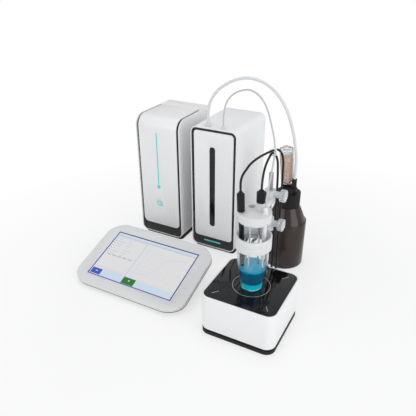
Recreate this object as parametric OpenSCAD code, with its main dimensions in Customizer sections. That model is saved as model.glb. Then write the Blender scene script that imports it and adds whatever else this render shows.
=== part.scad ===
// Automatic titrator: a control tower, a dosing tower with a piston burette, a magnetic stirrer
// with its stand, vessel and titration head, a reagent bottle and a screen terminal.
// Millimetres, +Z up. The origin is the middle of the stirrer's underside, under the vessel.

/* [Towers] */
// Height of both towers' undersides above the table
tower_low = 8.5; // [7:0.5:12]
// Height of the rubber feet
tower_foot_h = 3; // [2:0.5:5]
// Diameter of the rubber feet
tower_foot_d = 14; // [10:1:18]
// How far the plinth is set in from the casing
plinth_inset = 8; // [5:1:12]
// Top of the dark band under both front panels
band_top = 34; // [30:1:38]
// Width of the white rim round both fronts
rim = 2; // [1.5:0.1:2.5]
// How far the front lamps and the window lie left of each tower's middle
front_offset = 2.5; // [0:0.5:4]
// Thickness of the rear connector panels
rear_t = 3; // [2:0.5:4]

/* [Control tower] */
// Width of the casing
control_w = 114; // [108:1:118]
// Depth of the casing
control_d = 145; // [135:1:155]
// Height of the top above the table
control_h = 303; // [290:1:320]
// Radius of the front edge of the top
control_top_r = 25; // [20:1:30]
// Radius of the casing's lower corners
control_corner_r = 14; // [10:1:16]
// Width of the dark seam each side of the front panel
seam_w = 4.5; // [3:0.5:8]
// Depth of the dark seam
seam_depth = 5; // [4:0.5:6]
// Thickness of the dark liner under the seam
liner_t = 2; // [1.5:0.5:3]
// Thickness of the front panel
control_panel_t = 2.5; // [2:0.5:3]
// How far back the front panel reaches over the top
panel_reach = 105; // [90:1:115]
// Radius of the front panel's lower corners
panel_corner_r = 11; // [6:1:12]
// How far the dark band lies behind the rim
band_recess = 1; // [0.5:0.5:2]
// Width of the light strip
strip_w = 3; // [2:0.5:4]
// Length of the light strip above its drop
strip_len = 134; // [110:1:135]
// Height of the drop's middle above the table
drop_z = 135.5; // [130:0.5:145]
// Diameter of the drop at the strip's lower end
drop_d = 9; // [7:0.5:11]
// Height of the standby button above the table
button_z = 92.5; // [85:0.5:100]
// Diameter of the standby button
button_d = 17; // [14:0.5:20]
// Travel of the standby button
button_travel = 1.2; // [0.8:0.1:1.6]

/* [Dosing tower] */
// Width of the casing
dosing_w = 110; // [108:1:116]
// Depth of the casing
dosing_d = 157; // [140:1:165]
// Height of the top above the table
dosing_h = 300; // [300:1:304]
// Radius of the casing's long edges
dosing_corner_r = 14; // [12:1:16]
// Width of the black bezel round the front panel
bezel_w = 4.5; // [3:0.5:6]
// How far the bezel lies behind the rim
bezel_recess = 1; // [0.5:0.5:2]
// Depth of the bezel tray
bezel_t = 7; // [6:0.5:7]
// Thickness of the front panel
dosing_panel_t = 3; // [2:0.5:4]
// Width of the burette window
window_w = 13.5; // [11:0.5:15]
// Lower end of the burette window above the table
window_low = 65; // [60:1:70]
// Upper end of the burette window above the table
window_high = 259; // [254:1:264]
// Thickness of the smoked window
window_t = 2.5; // [2:0.5:2.5]
// Length of the status lamp
lamp_w = 43; // [36:1:50]
// Height of the status lamp
lamp_h = 3.5; // [2:0.5:4]
// Middle of the status lamp above the table
lamp_z = 23.5; // [21:0.5:26]

/* [Burette] */
// Bore of the burette cylinder
cylinder_bore = 26; // [24:1:28]
// Wall of the burette cylinder
cylinder_wall = 2; // [1.5:0.5:3]
// Running clearance of the piston, guides and clamps, on the radius
running_fit = 0.05; // [0.03:0.01:0.08]
// Height of the piston head
piston_head_h = 12; // [10:1:13]
// Diameter of the piston rod
piston_rod_d = 14; // [12.5:0.5:16]
// Diameter of the lead screw
screw_d = 8; // [7:0.5:8.5]
// Diameter of the guide rods
guide_d = 5; // [4:0.5:6]
// Distance between the guide rods
guide_span = 36; // [34:1:40]
// Width and depth of the drive motor
motor_side = 42; // [38:1:44]

/* [Stirrer] */
// Width of the stirrer
stirrer_w = 144; // [142:1:150]
// Depth of the stirrer
stirrer_d = 141; // [141:1:150]
// Height of the stirrer
stirrer_h = 85; // [84:0.5:86]
// Radius of the stirrer's upright corners
stirrer_r = 18; // [16:1:22]
// Height of the dark base
stirrer_base_h = 8; // [6:0.5:10]
// Height of the black gap above the base
stirrer_gap_h = 3.7; // [2:0.1:5]
// How far the black gap is set in
stirrer_gap_inset = 3.5; // [2:0.5:5]
// Width of the white rim round the glass plate
glass_rim = 3; // [2:0.5:4]
// Thickness of the glass plate
glass_t = 3; // [2:0.5:4]
// Wall of the stirrer housing
stirrer_wall = 17; // [16:1:19]
// Thickness of the housing under the glass plate
stirrer_roof = 4; // [3:0.5:6]
// Diameter of the drive magnet's yoke
yoke_d = 60; // [50:1:70]
// Diameter of the stirrer motor
stir_motor_d = 44; // [38:1:50]
// Diameter of the stirrer motor's shaft
stir_shaft_d = 5; // [4:0.5:6]
// Diameter of the pads under the stirrer
pad_d = 12; // [10:1:14]

/* [Stand] */
// Diameter of the stand rod
rod_d = 8; // [7:0.5:8]
// Top of the stand rod above the table
rod_top = 287; // [284:1:300]
// Depth of the rod in the stirrer housing
rod_seat = 25; // [20:1:30]
// Diameter of the clamp bosses on the rod
boss_d = 20; // [18:1:21]
// Height of the clamp bosses
boss_h = 25; // [24:1:26]
// Diameter of the clamp screw lugs
lug_d = 12; // [11:1:13]
// Reach of the clamp screw lugs from the rod's axis
lug_len = 20; // [18:0.5:21]
// Diameter of the clamp knobs
knob_d = 23; // [20:1:25]
// Thickness of the clamp knobs
knob_t = 9; // [7:0.5:10]
// Number of flutes on a clamp knob
knob_flutes = 12; // [8:1:14]
// Diameter of the clamp screws
clamp_screw_d = 5; // [4:0.5:6]
// Width of the holder arms
arm_w = 13; // [11:1:15]

/* [Vessel] */
// Outer radius of the vessel at its mouth
vessel_mouth_r = 28.6; // [28.4:0.1:28.8]
// Outer radius of the vessel's foot
vessel_foot_r = 19.5; // [19:0.1:20.5]
// Wall of the vessel
vessel_wall = 1.3; // [1:0.1:1.4]
// Thickness of the vessel's bottom
vessel_floor = 2; // [1.5:0.5:3]
// Height of the taper of the vessel
vessel_taper_h = 63; // [58:1:66]
// Width of the vessel's brim
brim_w = 1.4; // [1:0.1:1.6]
// Thickness of the vessel's brim
brim_t = 3; // [2:0.5:4]
// Underside of the vessel ring above the table
ring_z = 169; // [168:0.5:170]
// Height of the vessel ring
ring_h = 13; // [12:0.5:14]
// Height of the ledge that carries the brim
ring_ledge_h = 4; // [3:0.5:5]
// Wall of the vessel ring round the brim
ring_wall = 2; // [1.8:0.1:3]
// Height of the sample in the vessel
sample_h = 43; // [40:0.5:45]
// Length of the stir bar
stir_bar_len = 25; // [20:1:28]
// Diameter of the stir bar
stir_bar_d = 6; // [5:0.5:7]
// Lift of the vessel ring on the rod
ring_travel = 8; // [4:1:8]

/* [Titration head] */
// Diameter of the head plate
head_d = 58; // [57.5:0.5:62]
// Underside of the head plate above the table
head_z = 223.5; // [223:0.5:225]
// Thickness of the head plate
head_t = 10.5; // [9:0.5:12]
// Distance of the electrode from the axis at the plate's top
electrode_r = 23.3; // [22.8:0.1:23.4]
// Direction of the electrode from the axis
electrode_angle = 208; // [202:1:214]
// Lean of the electrode, its tip towards the axis
electrode_lean = 2.9; // [2.7:0.1:3.2]
// Diameter of the electrode's shaft
electrode_d = 9.2; // [8.8:0.1:9.4]
// Diameter of the electrode's tip
electrode_tip_d = 7.2; // [6:0.1:7.4]
// Diameter of the electrode's cap
electrode_cap_d = 12; // [11:0.5:13]
// Height of the electrode's cap
electrode_cap_h = 32; // [30:1:34]
// Distance of the temperature probe from the axis
probe_r = 11.7; // [11:0.1:12.5]
// Direction of the temperature probe from the axis
probe_angle = 59; // [56:1:62]
// Diameter of the probe's shaft
probe_d = 4; // [3:0.5:5]
// Height of the port sleeve for the probe
sleeve_h = 19; // [16:1:22]
// Diameter of the port sleeve for the probe
sleeve_d = 13; // [12:0.5:13.5]
// Height of the probe's cap
probe_cap_h = 19; // [16:1:22]
// Distance of the dosing tip from the axis
tip_r = 18.5; // [18:0.1:19]
// Direction of the dosing tip from the axis
tip_angle = 4; // [2:1:6]
// Diameter of the dosing tip's body
tip_d = 7.5; // [7:0.5:8]
// Distance of the vent from the axis
vent_r = 8.5; // [8:0.1:9]
// Direction of the vent from the axis
vent_angle = 236; // [232:1:240]
// Diameter of the vent plug
vent_d = 16; // [14:0.5:16]
// Diameter of the spare port
spare_d = 12.4; // [11:0.1:12.6]
// Distance of the spare port from the axis
spare_r = 18.4; // [18:0.1:19]
// Direction of the spare port from the axis
spare_angle = 130; // [128:1:134]

/* [Bottle] */
// Radius of the bottle
bottle_r = 43; // [41:0.5:45]
// Height of the bottle's shoulder ledge
ledge_z = 119; // [112:1:122]
// Foot of the bottle's neck
neck_z = 144; // [142:1:146]
// Radius of the bottle's neck
neck_r = 20; // [19.5:0.1:20.5]
// Top of the bottle's neck
neck_top = 166; // [164:1:168]
// Wall of the bottle
bottle_wall = 2.5; // [2:0.5:3]
// Radius of the screw cap ring
cap_r = 26; // [25:0.5:28]
// Number of ribs on the screw cap ring
cap_ribs = 36; // [24:1:44]
// Top of the screw cap ring above the table
cap_top = 174; // [173:0.5:175]
// Radius of the stopper's body
stopper_r = 16; // [15.5:0.1:17]
// Lean of the drying tube
drying_lean = 5; // [0:1:6]
// Radius of the drying tube
drying_r = 12.5; // [11:0.5:13]
// Length of the drying tube's barrel
drying_len = 72; // [60:1:76]

/* [Terminal] */
// Width of the housing
tablet_w = 260; // [250:1:270]
// Length of the housing up its slope
tablet_l = 173; // [168:1:180]
// Corner radius of the housing
tablet_r = 36; // [28:1:40]
// Thickness of the white housing
tablet_t = 11; // [9:0.5:12]
// Radius of the housing's edges
tablet_edge_r = 3; // [1.5:0.5:4]
// Thickness of the dark back
tablet_back_t = 4; // [3:0.5:6]
// How far the dark back is set in
tablet_back_inset = 4; // [3:0.5:6]
// Tilt of the screen
tablet_tilt = 17.2; // [14:0.2:20]
// Width of the screen
screen_w = 209; // [200:1:212]
// Height of the screen
screen_h = 127; // [120:1:130]
// Distance of the screen from the housing's front edge
screen_margin = 24; // [20:1:28]
// Depth of the screen under the housing's face
screen_recess = 0.6; // [0.4:0.1:1]
// Width of the foot under the housing
tablet_foot_w = 130; // [100:1:150]

/* [Hidden] */
$fn = 64;

cut = 1;                 // how far a cutter runs past the face that it cuts
gap = 0.3;               // clearance between parts that move past each other
arc_fn = 96;             // facets of the large circles

// Places of the modules on the table, to which the hoses and cables are routed
dosing_place = [-176, 186];
control_place = [-317, 185];
bottle_place = [-16, 228];
tablet_place = [-257, -61];
rod_place = [2, 63.5];

plinth_h = tower_low - tower_foot_h;
foot_margin = 4;
foot_inset = plinth_inset + tower_foot_d / 2 + foot_margin;

// Control tower, from the middle of its front
control_inner_w = control_w - 2 * rim;
control_panel_w = control_inner_w - 2 * seam_w;
pocket_depth = seam_depth + liner_t;
strip_depth = 1.5;
strip_recess = 0.2;
drop_point = 7;
button_proud = 0.4;
button_flange = 1.5;
button_flange_t = 2;
rear_w = 84;
rear_h = 160;
rear_z = 120;
rear_r = 4;
inlet_place = [14, 165];
inlet_size = [30, 24];
inlet_hole = [22, 16];
inlet_pins = [[-6, -2.5], [6, -2.5], [0, 3]];
inlet_lip = 2;
inlet_depth = 2;
data_ports = [[-26, 110], [-4, 110], [18, 110]];
data_size = [13, 11];
rocker_place = [-22, 165];
rocker_w = 13;
rocker_r = 9;
rocker_front = 3;
rocker_back = 6;
rocker_swing = 16;

// Sensor jacks, plugs and cables
jack_x = [-320, -295];
jack_z = 60;
jack_d = 9.6;
jack_len = 11;
jack_collar_d = 14;
jack_collar_t = 2;
plug_d = 14;
plug_end = 360;
relief_len = 9;
plug_body = plug_end - relief_len - control_place[1] - control_d - jack_collar_t;
relief_d = 6;
cable_d = 4;

// Dosing tower, from the middle of its front
window_x = -front_offset;
dosing_panel_w = dosing_w - 2 * (rim + bezel_w);
dosing_panel_top = dosing_h - rim - bezel_w;
dosing_panel_r = dosing_corner_r - rim - bezel_w;
panel_front = 0.5;
window_front = panel_front + dosing_panel_t - window_t;
window_seat = 1;
lamp_depth = 1.5;
grille_w = 60;
grille_z = 150;
grille_pitch = 8;
grille_slot = 3;
grille_count = 5;
bay_w = 56;
motor_gap = 6;
bay_d = 56;
bay_front = bezel_recess + bezel_t;
bay_low = 40;
bay_high = dosing_h - 16;

// Burette, from the middle of the tower's front
burette_y = bay_front + motor_side / 2 + motor_gap;
deck_t = 4;
deck_z = 78;
upper_deck_z = 159;
cylinder_low = upper_deck_z + deck_t;
cylinder_high = dosing_h - 54;
cylinder_r = cylinder_bore / 2 + cylinder_wall;
deck_size = [50, 40];
deck_r = 4;
piston_top = cylinder_high - 26;
nut_z = 126;
nut_h = 12;
nut_size = [48, 22];
screw_top = 160;
screw_hub_d = 14;
screw_hub_top = 85;
rod_bore_d = screw_d + 1;
motor_r = 4;
valve_w = 34;
valve_split = cylinder_high + 16;
valve_top = valve_split + 10;
valve_reach = [46, 42];

// Tube fittings, from the middle of the tower's front
suction_place = [-19, 14];
outlet_place = [17, 14];
hose_d = 6;
tube_d = 3;
fitting_rise = 8;
outlet_rise = 6;
fitting_d = 12;
stem_d = 8;

// Stirrer
glass_w = stirrer_w - 2 * glass_rim;
glass_d = stirrer_d - 2 * glass_rim;
glass_r = stirrer_r - glass_rim;
housing_low = stirrer_base_h + stirrer_gap_h;
glass_low = stirrer_h - glass_t;
cavity_top = glass_low - stirrer_roof;
pad_t = 2;
pad_inset = 20;
yoke_h = 6;
pole_h = 4;
yoke_top = cavity_top - 2;
yoke_low = yoke_top - pole_h - yoke_h;
pole_d = 14;
pole_offset = 18;
stir_motor_top = yoke_low - 12;
shaft_top = yoke_low + 4;
stirrer_port = [30, 26];
stirrer_port_size = [14, 10];

// Stand and vessel
collar_d = 12.5;
collar_top = 94;
rod_round = 3;
vessel_z = stirrer_h + gap;
brim_z = ring_z + ring_ledge_h;
vessel_top = brim_z + brim_t;
brim_r = vessel_mouth_r + brim_w;
ring_r = brim_r + ring_wall;
ring_boss_z = 172;
ring_screw_z = 186.5;
head_boss_z = 227.5;
head_screw_z = 245.5;
bar_z = vessel_z + vessel_floor + gap + stir_bar_d / 2;
bar_pocket_r = stir_bar_len / 2 + 2 * gap;
bar_pocket_h = stir_bar_d + 2 * gap;
arm_h = 10;

// Titration head
head_top = head_z + head_t;
port_fit = 0.1;
electrode_end = 122;
electrode_tip_len = 22;
electrode_collar_h = 6;
electrode_collar_d = 10.6;
electrode_relief_h = 4;
probe_end = 127;
tip_end = 115;
tip_collar_d = 11;
tip_collar_h = 6;
tip_top = 250;
tip_shoulder_z = 150;
tip_neck_z = 147;
tip_neck_d = 4.5;
tip_point_d = 2;
vent_h = 6;
vent_spigot_d = 8;
vent_tube_d = 2.5;
well_gap = 0.6;
tie_place = [5.3, 54, 327];
tie_w = 2;
tie_t = 1.2;
tie_gap = 0.9;
tie_cables = [[-1.5, 2.2], [-1.5, -2.4]];
tie_tube = [[3.4, 4], [3.8, -2.2]];

// Bottle
ledge_in = 2;
shoulder_r = 25.5;
bottle_round = 4;
cap_low = neck_z + 1.5;
cap_ceiling = neck_top + 3.5 + gap;
rib_d = 3;
stopper_flange_t = 3.5;
stopper_top = 187;
stopper_plug_len = 14;
hose_socket = [12, -3];
hose_socket_r = 5;
hose_socket_top = 207;
lug_size = [14, 12];
dryer_seat = [-6.5, 5.5];
dryer_boss_r = 8.5;
dryer_boss_h = 5;
dryer_neck_r = 5;
dryer_neck_len = 12;
dryer_wall = 1.5;
dryer_lean_axis = [0.47, -0.88, 0];
granule_low = 10;
dryer_cap_t = 5;
dryer_nub_r = 4;
dryer_nub_h = 5;

// Terminal
screen_t = 2;
tablet_drop = tablet_back_inset * sin(tablet_tilt);
tablet_top = tablet_back_t + tablet_t;
foot_from = 95;
foot_to = 140;

// Routes of the hoses and cables, each from the tower or cap where it starts
hose_route = [
    [-195, 200, 308], [-195, 200, 320], [-195, 200, 332], [-190, 201, 353], [-178, 203, 373],
    [-160, 205, 389], [-138, 207, 401], [-113, 210, 407], [-88, 212, 404], [-66, 214, 394],
    [-48, 216, 378], [-34, 218, 358], [-23, 220, 334], [-15, 222, 308], [-9, 223, 282],
    [-5, 224, 256], [-4, 225, 231], [-4, 225, 219], [-4, 225, 207]
];
tube_route = [
    [-159, 200, 306], [-159, 200, 314], [-159, 200, 322], [-156, 197, 340], [-148, 190, 358],
    [-135, 180, 374], [-118, 168, 387], [-98, 155, 397], [-76, 140, 403], [-54, 122, 402],
    [-35, 105, 395], [-19, 88, 382], [-6, 73, 364], [4, 62, 345], [9, 54, 327],
    [12, 42, 314], [14.5, 30, 304], [17, 18, 294], [18.5, 8, 282], [18.5, 2, 266],
    [18.5, 1.3, 258], [18.5, 1.3, 250]
];
electrode_route = [
    [-22.3, -12, 276], [-22.7, -12.2, 284], [-23, -11, 294], [-22, -7, 303], [-19, 0, 311],
    [-15, 11, 319], [-8.5, 25, 325], [-2, 40, 328], [3.8, 54, 329.2], [9, 67, 328],
    [13, 77, 319], [15, 83, 303], [15, 86, 280], [15, 87, 240], [15, 87, 200], [15, 87, 160],
    [15, 87, 120], [15, 88, 80], [14, 91, 45], [9, 98, 20], [-4, 108, 6], [-24, 120, 2.2],
    [-48, 134, 2.2], [-72, 152, 2.2], [-91, 176, 2.2], [-101, 210, 2.2], [-105, 255, 2.2],
    [-105, 300, 2.2], [-109, 338, 2.2], [-122, 367, 2.2], [-150, 385, 2.2], [-190, 391, 2.2],
    [-235, 392, 2.2], [-275, 392, 2.2], [-302, 392, 6], [-316, 391, 24], [-320, 386, 46],
    [-320, 377, 60], [-320, 368, 60], [-320, 360, 60]
];
probe_route = [
    [6, 10, 276], [6, 10, 284], [6, 11, 292], [5, 17, 302], [4, 26, 311], [3.5, 39, 319],
    [3.8, 54, 324.6], [6, 65, 320], [8, 73, 306], [8, 78, 288], [8, 81, 262], [8, 82, 225],
    [8, 82, 185], [8, 82, 145], [8, 82, 105], [8, 82, 70], [7, 84, 46], [3, 89, 24],
    [-8, 97.5, 8], [-26, 109, 2.2], [-50, 123, 2.2], [-75, 140, 2.2], [-95, 163, 2.2],
    [-106, 195, 2.2], [-110.5, 235, 2.2], [-110.5, 275, 2.2], [-111, 318, 2.2],
    [-118.5, 350, 2.2], [-139, 372, 2.2], [-170, 380, 2.2], [-210, 382, 2.2], [-248, 382, 2.2], [-272, 382, 7],
    [-287, 383, 22], [-294, 384, 43], [-295, 380, 56], [-295, 373, 60], [-295, 366, 60],
    [-295, 360, 60]
];

// ------------------------------------------------------------ outlines and shared shapes

// Rectangle with round corners, centred
module round_outline(w, h, r) {
    square([w - 2 * r, h], center = true);
    square([w, h - 2 * r], center = true);
    for (sx = [-1, 1], sy = [-1, 1])
        translate([sx * (w / 2 - r), sy * (h / 2 - r)])
            circle(r = r, $fn = arc_fn);
}

// Round-cornered plate lying flat, its underside at z = 0
module round_plate(w, d, h, r) {
    linear_extrude(h)
        round_outline(w, d, r);
}

// Sweeps an outline drawn in X and Z back along +Y
module from_front(depth) {
    translate([0, depth, 0])
        rotate([90, 0, 0])
            linear_extrude(depth)
                children();
}

// Sweeps an outline drawn in Y and Z along X, centred
module across(width) {
    rotate([90, 0, 90])
        linear_extrude(width, center = true)
            children();
}

// Cylinder along +X
module bar_x(d, len) {
    rotate([0, 90, 0])
        cylinder(d = d, h = len);
}

// Cylinder along +Y
module bar_y(d, len) {
    rotate([-90, 0, 0])
        cylinder(d = d, h = len);
}

// Upright slot outline with round ends, from low to high
module slot_outline(w, low, high) {
    translate([-w / 2, low + w / 2])
        square([w, high - low - w]);
    for (z = [low + w / 2, high - w / 2])
        translate([0, z])
            circle(d = w);
}

// Front outline of a casing from low to high, drawn in by an inset
module casing_front(w, low, high, r, inset = 0) {
    translate([0, (low + high) / 2])
        round_outline(w - 2 * inset, high - low - 2 * inset, r - inset);
}

// Place of a port in the head plate
function port(r, angle) = [r * cos(angle), r * sin(angle)];

// A point of the smooth curve from b to c, with neighbours a and d
function curve_point(a, b, c, d, t) =
    (2 * b + (c - a) * t + (2 * a - 5 * b + 4 * c - d) * t * t
    + (3 * b - a - 3 * c + d) * t * t * t) / 2;

// A route with extra points between its own
function smoothed(route, steps) = [
    for (i = [0 : len(route) - 2], s = [0 : steps - 1])
        curve_point(route[max(i - 1, 0)], route[i], route[i + 1],
            route[min(i + 2, len(route) - 1)], s / steps),
    route[len(route) - 1]
];

function unit(v) = v / norm(v);
function square_to(v, t) = unit(v - (v * t) * t);

// Direction of travel at each point of a line
function travel(line) = [
    for (i = [0 : len(line) - 1])
        unit(line[min(i + 1, len(line) - 1)] - line[max(i - 1, 0)])
];

// Side direction at each point, turning as little as it can
function sides(along) = [
    for (i = 0, u = square_to([1, 0.3, 0.2], along[0]);
        i < len(along);
        i = i + 1, u = i < len(along) ? square_to(u, along[i]) : u) u
];

// Round tube swept along a route, closed at both ends
module swept_tube(route, d, steps, count) {
    line = smoothed(route, steps);
    along = travel(line);
    side = sides(along);
    n = len(line);
    points = [
        for (i = [0 : n - 1], k = [0 : count - 1])
            line[i] + d / 2 * (cos(360 * k / count) * side[i]
            + sin(360 * k / count) * cross(along[i], side[i]))
    ];
    walls = [
        for (i = [0 : n - 2], k = [0 : count - 1])
            [i * count + k, (i + 1) * count + k,
            (i + 1) * count + (k + 1) % count, i * count + (k + 1) % count]
    ];
    first = [for (k = [0 : count - 1]) k];
    last = [for (k = [0 : count - 1]) n * count - 1 - k];
    polyhedron(points, concat([first], walls, [last]));
}

// ------------------------------------------------------------ control tower

module at_control() {
    translate([control_place[0], control_place[1], 0])
        children();
}

// Side outline of the control casing, drawn in from the front and the top
module control_side(inset) {
    translate([inset, tower_low])
        square([control_d - inset, control_h - control_top_r - tower_low]);
    translate([control_top_r, tower_low])
        square([control_d - control_top_r, control_h - inset - tower_low]);
    translate([control_top_r, control_h - control_top_r])
        circle(r = control_top_r - inset, $fn = arc_fn);
}

// Layer of the casing between two insets, over the front and the fore part of the top
module control_layer(width, outer, inner) {
    across(width)
        intersection() {
            difference() {
                control_side(outer);
                control_side(inner);
            }
            translate([-cut, tower_low])
                square([panel_reach + cut, control_h]);
        }
}

// Front outline of the control casing, open at the top
module control_outline(inset) {
    from_front(control_d)
        casing_front(control_w, tower_low, control_h + 2 * control_corner_r,
            control_corner_r, inset);
}

// Front outline of the control panel, open at the top
module panel_outline() {
    translate([0, band_top + control_h / 2])
        round_outline(control_panel_w, control_h, panel_corner_r);
}

module light_outline() {
    translate([-strip_w / 2, drop_z])
        square([strip_w, strip_len]);
    translate([0, drop_z])
        circle(d = drop_d);
}

// Hole for the standby button through the panel and the trim
module button_hole() {
    translate([-front_offset, -cut, button_z])
        bar_y(button_d + 2 * gap, pocket_depth + 2 * cut);
}

// Well that the power rocker swings in
module rocker_well() {
    translate([rocker_place[0], control_d - rear_t / 2, rocker_place[1]])
        across(rocker_w + 2 * gap)
            circle(r = rocker_r + gap);
}

// Rear connector panel's body
module rear_plate(thickness) {
    translate([0, control_d - rear_t, rear_z])
        from_front(thickness)
            round_outline(rear_w, rear_h, rear_r);
}

module control_shell() {
    color("white")
        at_control()
            difference() {
                intersection() {
                    across(control_w)
                        control_side(0);
                    control_outline(0);
                }
                intersection() {
                    across(control_inner_w)
                        difference() {
                            translate([-cut, tower_low])
                                square([panel_reach + cut, control_h]);
                            control_side(pocket_depth);
                        }
                    translate([0, -cut, 0])
                        control_outline(rim);
                }
                translate([-front_offset, pocket_depth - cut, button_z])
                    bar_y(button_d + 2 * button_flange + 2 * gap,
                        cut + button_flange_t + button_travel + 3 * gap);
                rear_plate(rear_t + cut);
                rocker_well();
            }
}

module control_trim() {
    color("#222426")
        at_control()
            difference() {
                union() {
                    intersection() {
                        control_layer(control_inner_w, seam_depth, pocket_depth);
                        control_outline(rim);
                    }
                    intersection() {
                        control_layer(control_panel_w, control_panel_t, pocket_depth);
                        from_front(control_d)
                            panel_outline();
                    }
                    intersection() {
                        control_layer(control_inner_w, band_recess, pocket_depth);
                        control_outline(rim);
                        from_front(control_d)
                            difference() {
                                translate([-control_w / 2, 0])
                                    square([control_w, band_top + panel_corner_r]);
                                panel_outline();
                            }
                    }
                }
                button_hole();
            }
}

module control_panel() {
    color("white")
        at_control()
            difference() {
                intersection() {
                    control_layer(control_panel_w, 0, control_panel_t);
                    from_front(control_d)
                        panel_outline();
                }
                button_hole();
                translate([-front_offset, -cut, 0])
                    from_front(strip_depth + cut)
                        light_outline();
            }
}

module light_strip() {
    color("cyan")
        at_control()
            translate([-front_offset, strip_recess, 0])
                from_front(strip_depth - strip_recess)
                    light_outline();
}

// Cap with a flange behind the trim that keeps it in
module standby_button() {
    color("paleturquoise")
        at_control()
            translate([-front_offset, -button_proud, button_z]) {
                bar_y(button_d, button_proud + pocket_depth + gap + button_flange_t);
                translate([0, button_proud + pocket_depth + gap, 0])
                    bar_y(button_d + 2 * button_flange, button_flange_t);
            }
}

// Plinth under a tower, from the tower's front
module plinth(w, d) {
    translate([0, d / 2, tower_foot_h])
        round_plate(w - 2 * plinth_inset, d - 2 * plinth_inset, plinth_h, plinth_inset);
}

module control_plinth() {
    color("#1c1c1e")
        at_control()
            plinth(control_w, control_d);
}

module control_rear_panel() {
    color("#3a3c3e")
        at_control() {
            difference() {
                union() {
                    rear_plate(rear_t);
                    translate([inlet_place[0], control_d, inlet_place[1]])
                        from_front(inlet_lip)
                            round_outline(inlet_size[0], inlet_size[1], 3);
                }
                translate([inlet_place[0], control_d - inlet_depth, inlet_place[1]])
                    from_front(inlet_lip + inlet_depth + cut)
                        round_outline(inlet_hole[0], inlet_hole[1], 2);
                for (p = data_ports)
                    translate([p[0], control_d - inlet_depth, p[1]])
                        from_front(inlet_depth + cut)
                            square(data_size, center = true);
                rocker_well();
            }
            for (p = inlet_pins)
                translate([inlet_place[0] + p[0], control_d - inlet_depth, inlet_place[1] + p[1]])
                    from_front(inlet_depth + 1)
                        square([2, 5], center = true);
        }
}

// Rocker whose lower half lies flush at rest
module power_rocker() {
    color("#141414")
        at_control()
            translate([rocker_place[0], control_d - rear_t / 2, rocker_place[1]])
                across(rocker_w)
                    intersection() {
                        circle(r = rocker_r);
                        polygon([[-rocker_back, -rocker_r], [rocker_front, -rocker_r],
                            [rocker_front, 0],
                            [rocker_front + rocker_r * tan(rocker_swing), rocker_r],
                            [-rocker_back, rocker_r]]);
                    }
}

// Two sockets on the rear panel, each with a collar
module sensor_jacks() {
    color("silver")
        for (x = jack_x)
            translate([x, control_place[1] + control_d, jack_z]) {
                bar_y(jack_collar_d, jack_collar_t);
                bar_y(jack_d, jack_len);
            }
}

// Two plugs over the jacks, each with a tapered relief where its cable leaves
module cable_plugs() {
    color("#303234")
        for (x = jack_x)
            translate([x, control_place[1] + control_d + jack_collar_t, jack_z])
                rotate([-90, 0, 0])
                    difference() {
                        union() {
                            cylinder(d = plug_d, h = plug_body);
                            translate([0, 0, plug_body])
                                cylinder(d1 = plug_d - 4, d2 = relief_d, h = relief_len);
                        }
                        translate([0, 0, -cut])
                            cylinder(d = jack_d, h = jack_len - jack_collar_t + cut);
                    }
}

// ------------------------------------------------------------ dosing tower

module at_dosing() {
    translate([dosing_place[0], dosing_place[1], 0])
        children();
}

module dosing_front(depth, inset) {
    from_front(depth)
        casing_front(dosing_w, tower_low, dosing_h, dosing_corner_r, inset);
}

// Outline of the dosing tower's front panel
module dosing_panel_outline() {
    casing_front(dosing_panel_w, band_top, dosing_panel_top, dosing_panel_r);
}

module window_outline(inset) {
    translate([window_x, 0])
        slot_outline(window_w - 2 * inset, window_low + inset, window_high - inset);
}

module lamp_outline() {
    translate([window_x, lamp_z])
        round_outline(lamp_w, lamp_h, lamp_h / 2 - 0.1);
}

module dosing_shell() {
    color("white")
        at_dosing()
            difference() {
                dosing_front(dosing_d, 0);
                translate([0, -cut, 0])
                    dosing_front(bay_front + cut, rim);
                translate([window_x - bay_w / 2, bay_front - cut, bay_low])
                    cube([bay_w, bay_d + cut, bay_high - bay_low]);
                for (p = [suction_place, outlet_place])
                    translate([p[0], p[1], bay_high - cut])
                        cylinder(d = stem_d, h = dosing_h);
                translate([0, dosing_d - rear_t, rear_z])
                    from_front(rear_t + cut)
                        round_outline(rear_w, rear_h, rear_r);
            }
}

// Black tray that the panel lies in, with the status lamp's slot in its lower band
module dosing_bezel() {
    color("#161618")
        at_dosing()
            difference() {
                translate([0, bezel_recess, 0])
                    dosing_front(bezel_t, rim);
                translate([0, -cut, 0])
                    from_front(panel_front + dosing_panel_t + cut)
                        dosing_panel_outline();
                from_front(bay_front + cut)
                    window_outline(window_seat);
                from_front(bezel_recess + lamp_depth)
                    lamp_outline();
            }
}

module dosing_panel() {
    color("white")
        at_dosing()
            difference() {
                translate([0, panel_front, 0])
                    from_front(dosing_panel_t)
                        dosing_panel_outline();
                from_front(panel_front + dosing_panel_t + cut)
                    window_outline(0);
            }
}

module burette_window() {
    color("#20242880")
        at_dosing()
            translate([0, window_front, 0])
                from_front(window_t)
                    window_outline(0);
}

module status_lamp() {
    color("cyan")
        at_dosing()
            translate([0, bezel_recess, 0])
                from_front(lamp_depth)
                    lamp_outline();
}

module dosing_plinth() {
    color("#1c1c1e")
        at_dosing()
            plinth(dosing_w, dosing_d);
}

module at_burette() {
    translate([dosing_place[0] + window_x, dosing_place[1] + burette_y, 0])
        children();
}

module guide_pair(d, low, high) {
    for (side = [-1, 1])
        translate([side * guide_span / 2, 0, low])
            cylinder(d = d, h = high - low);
}

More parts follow.
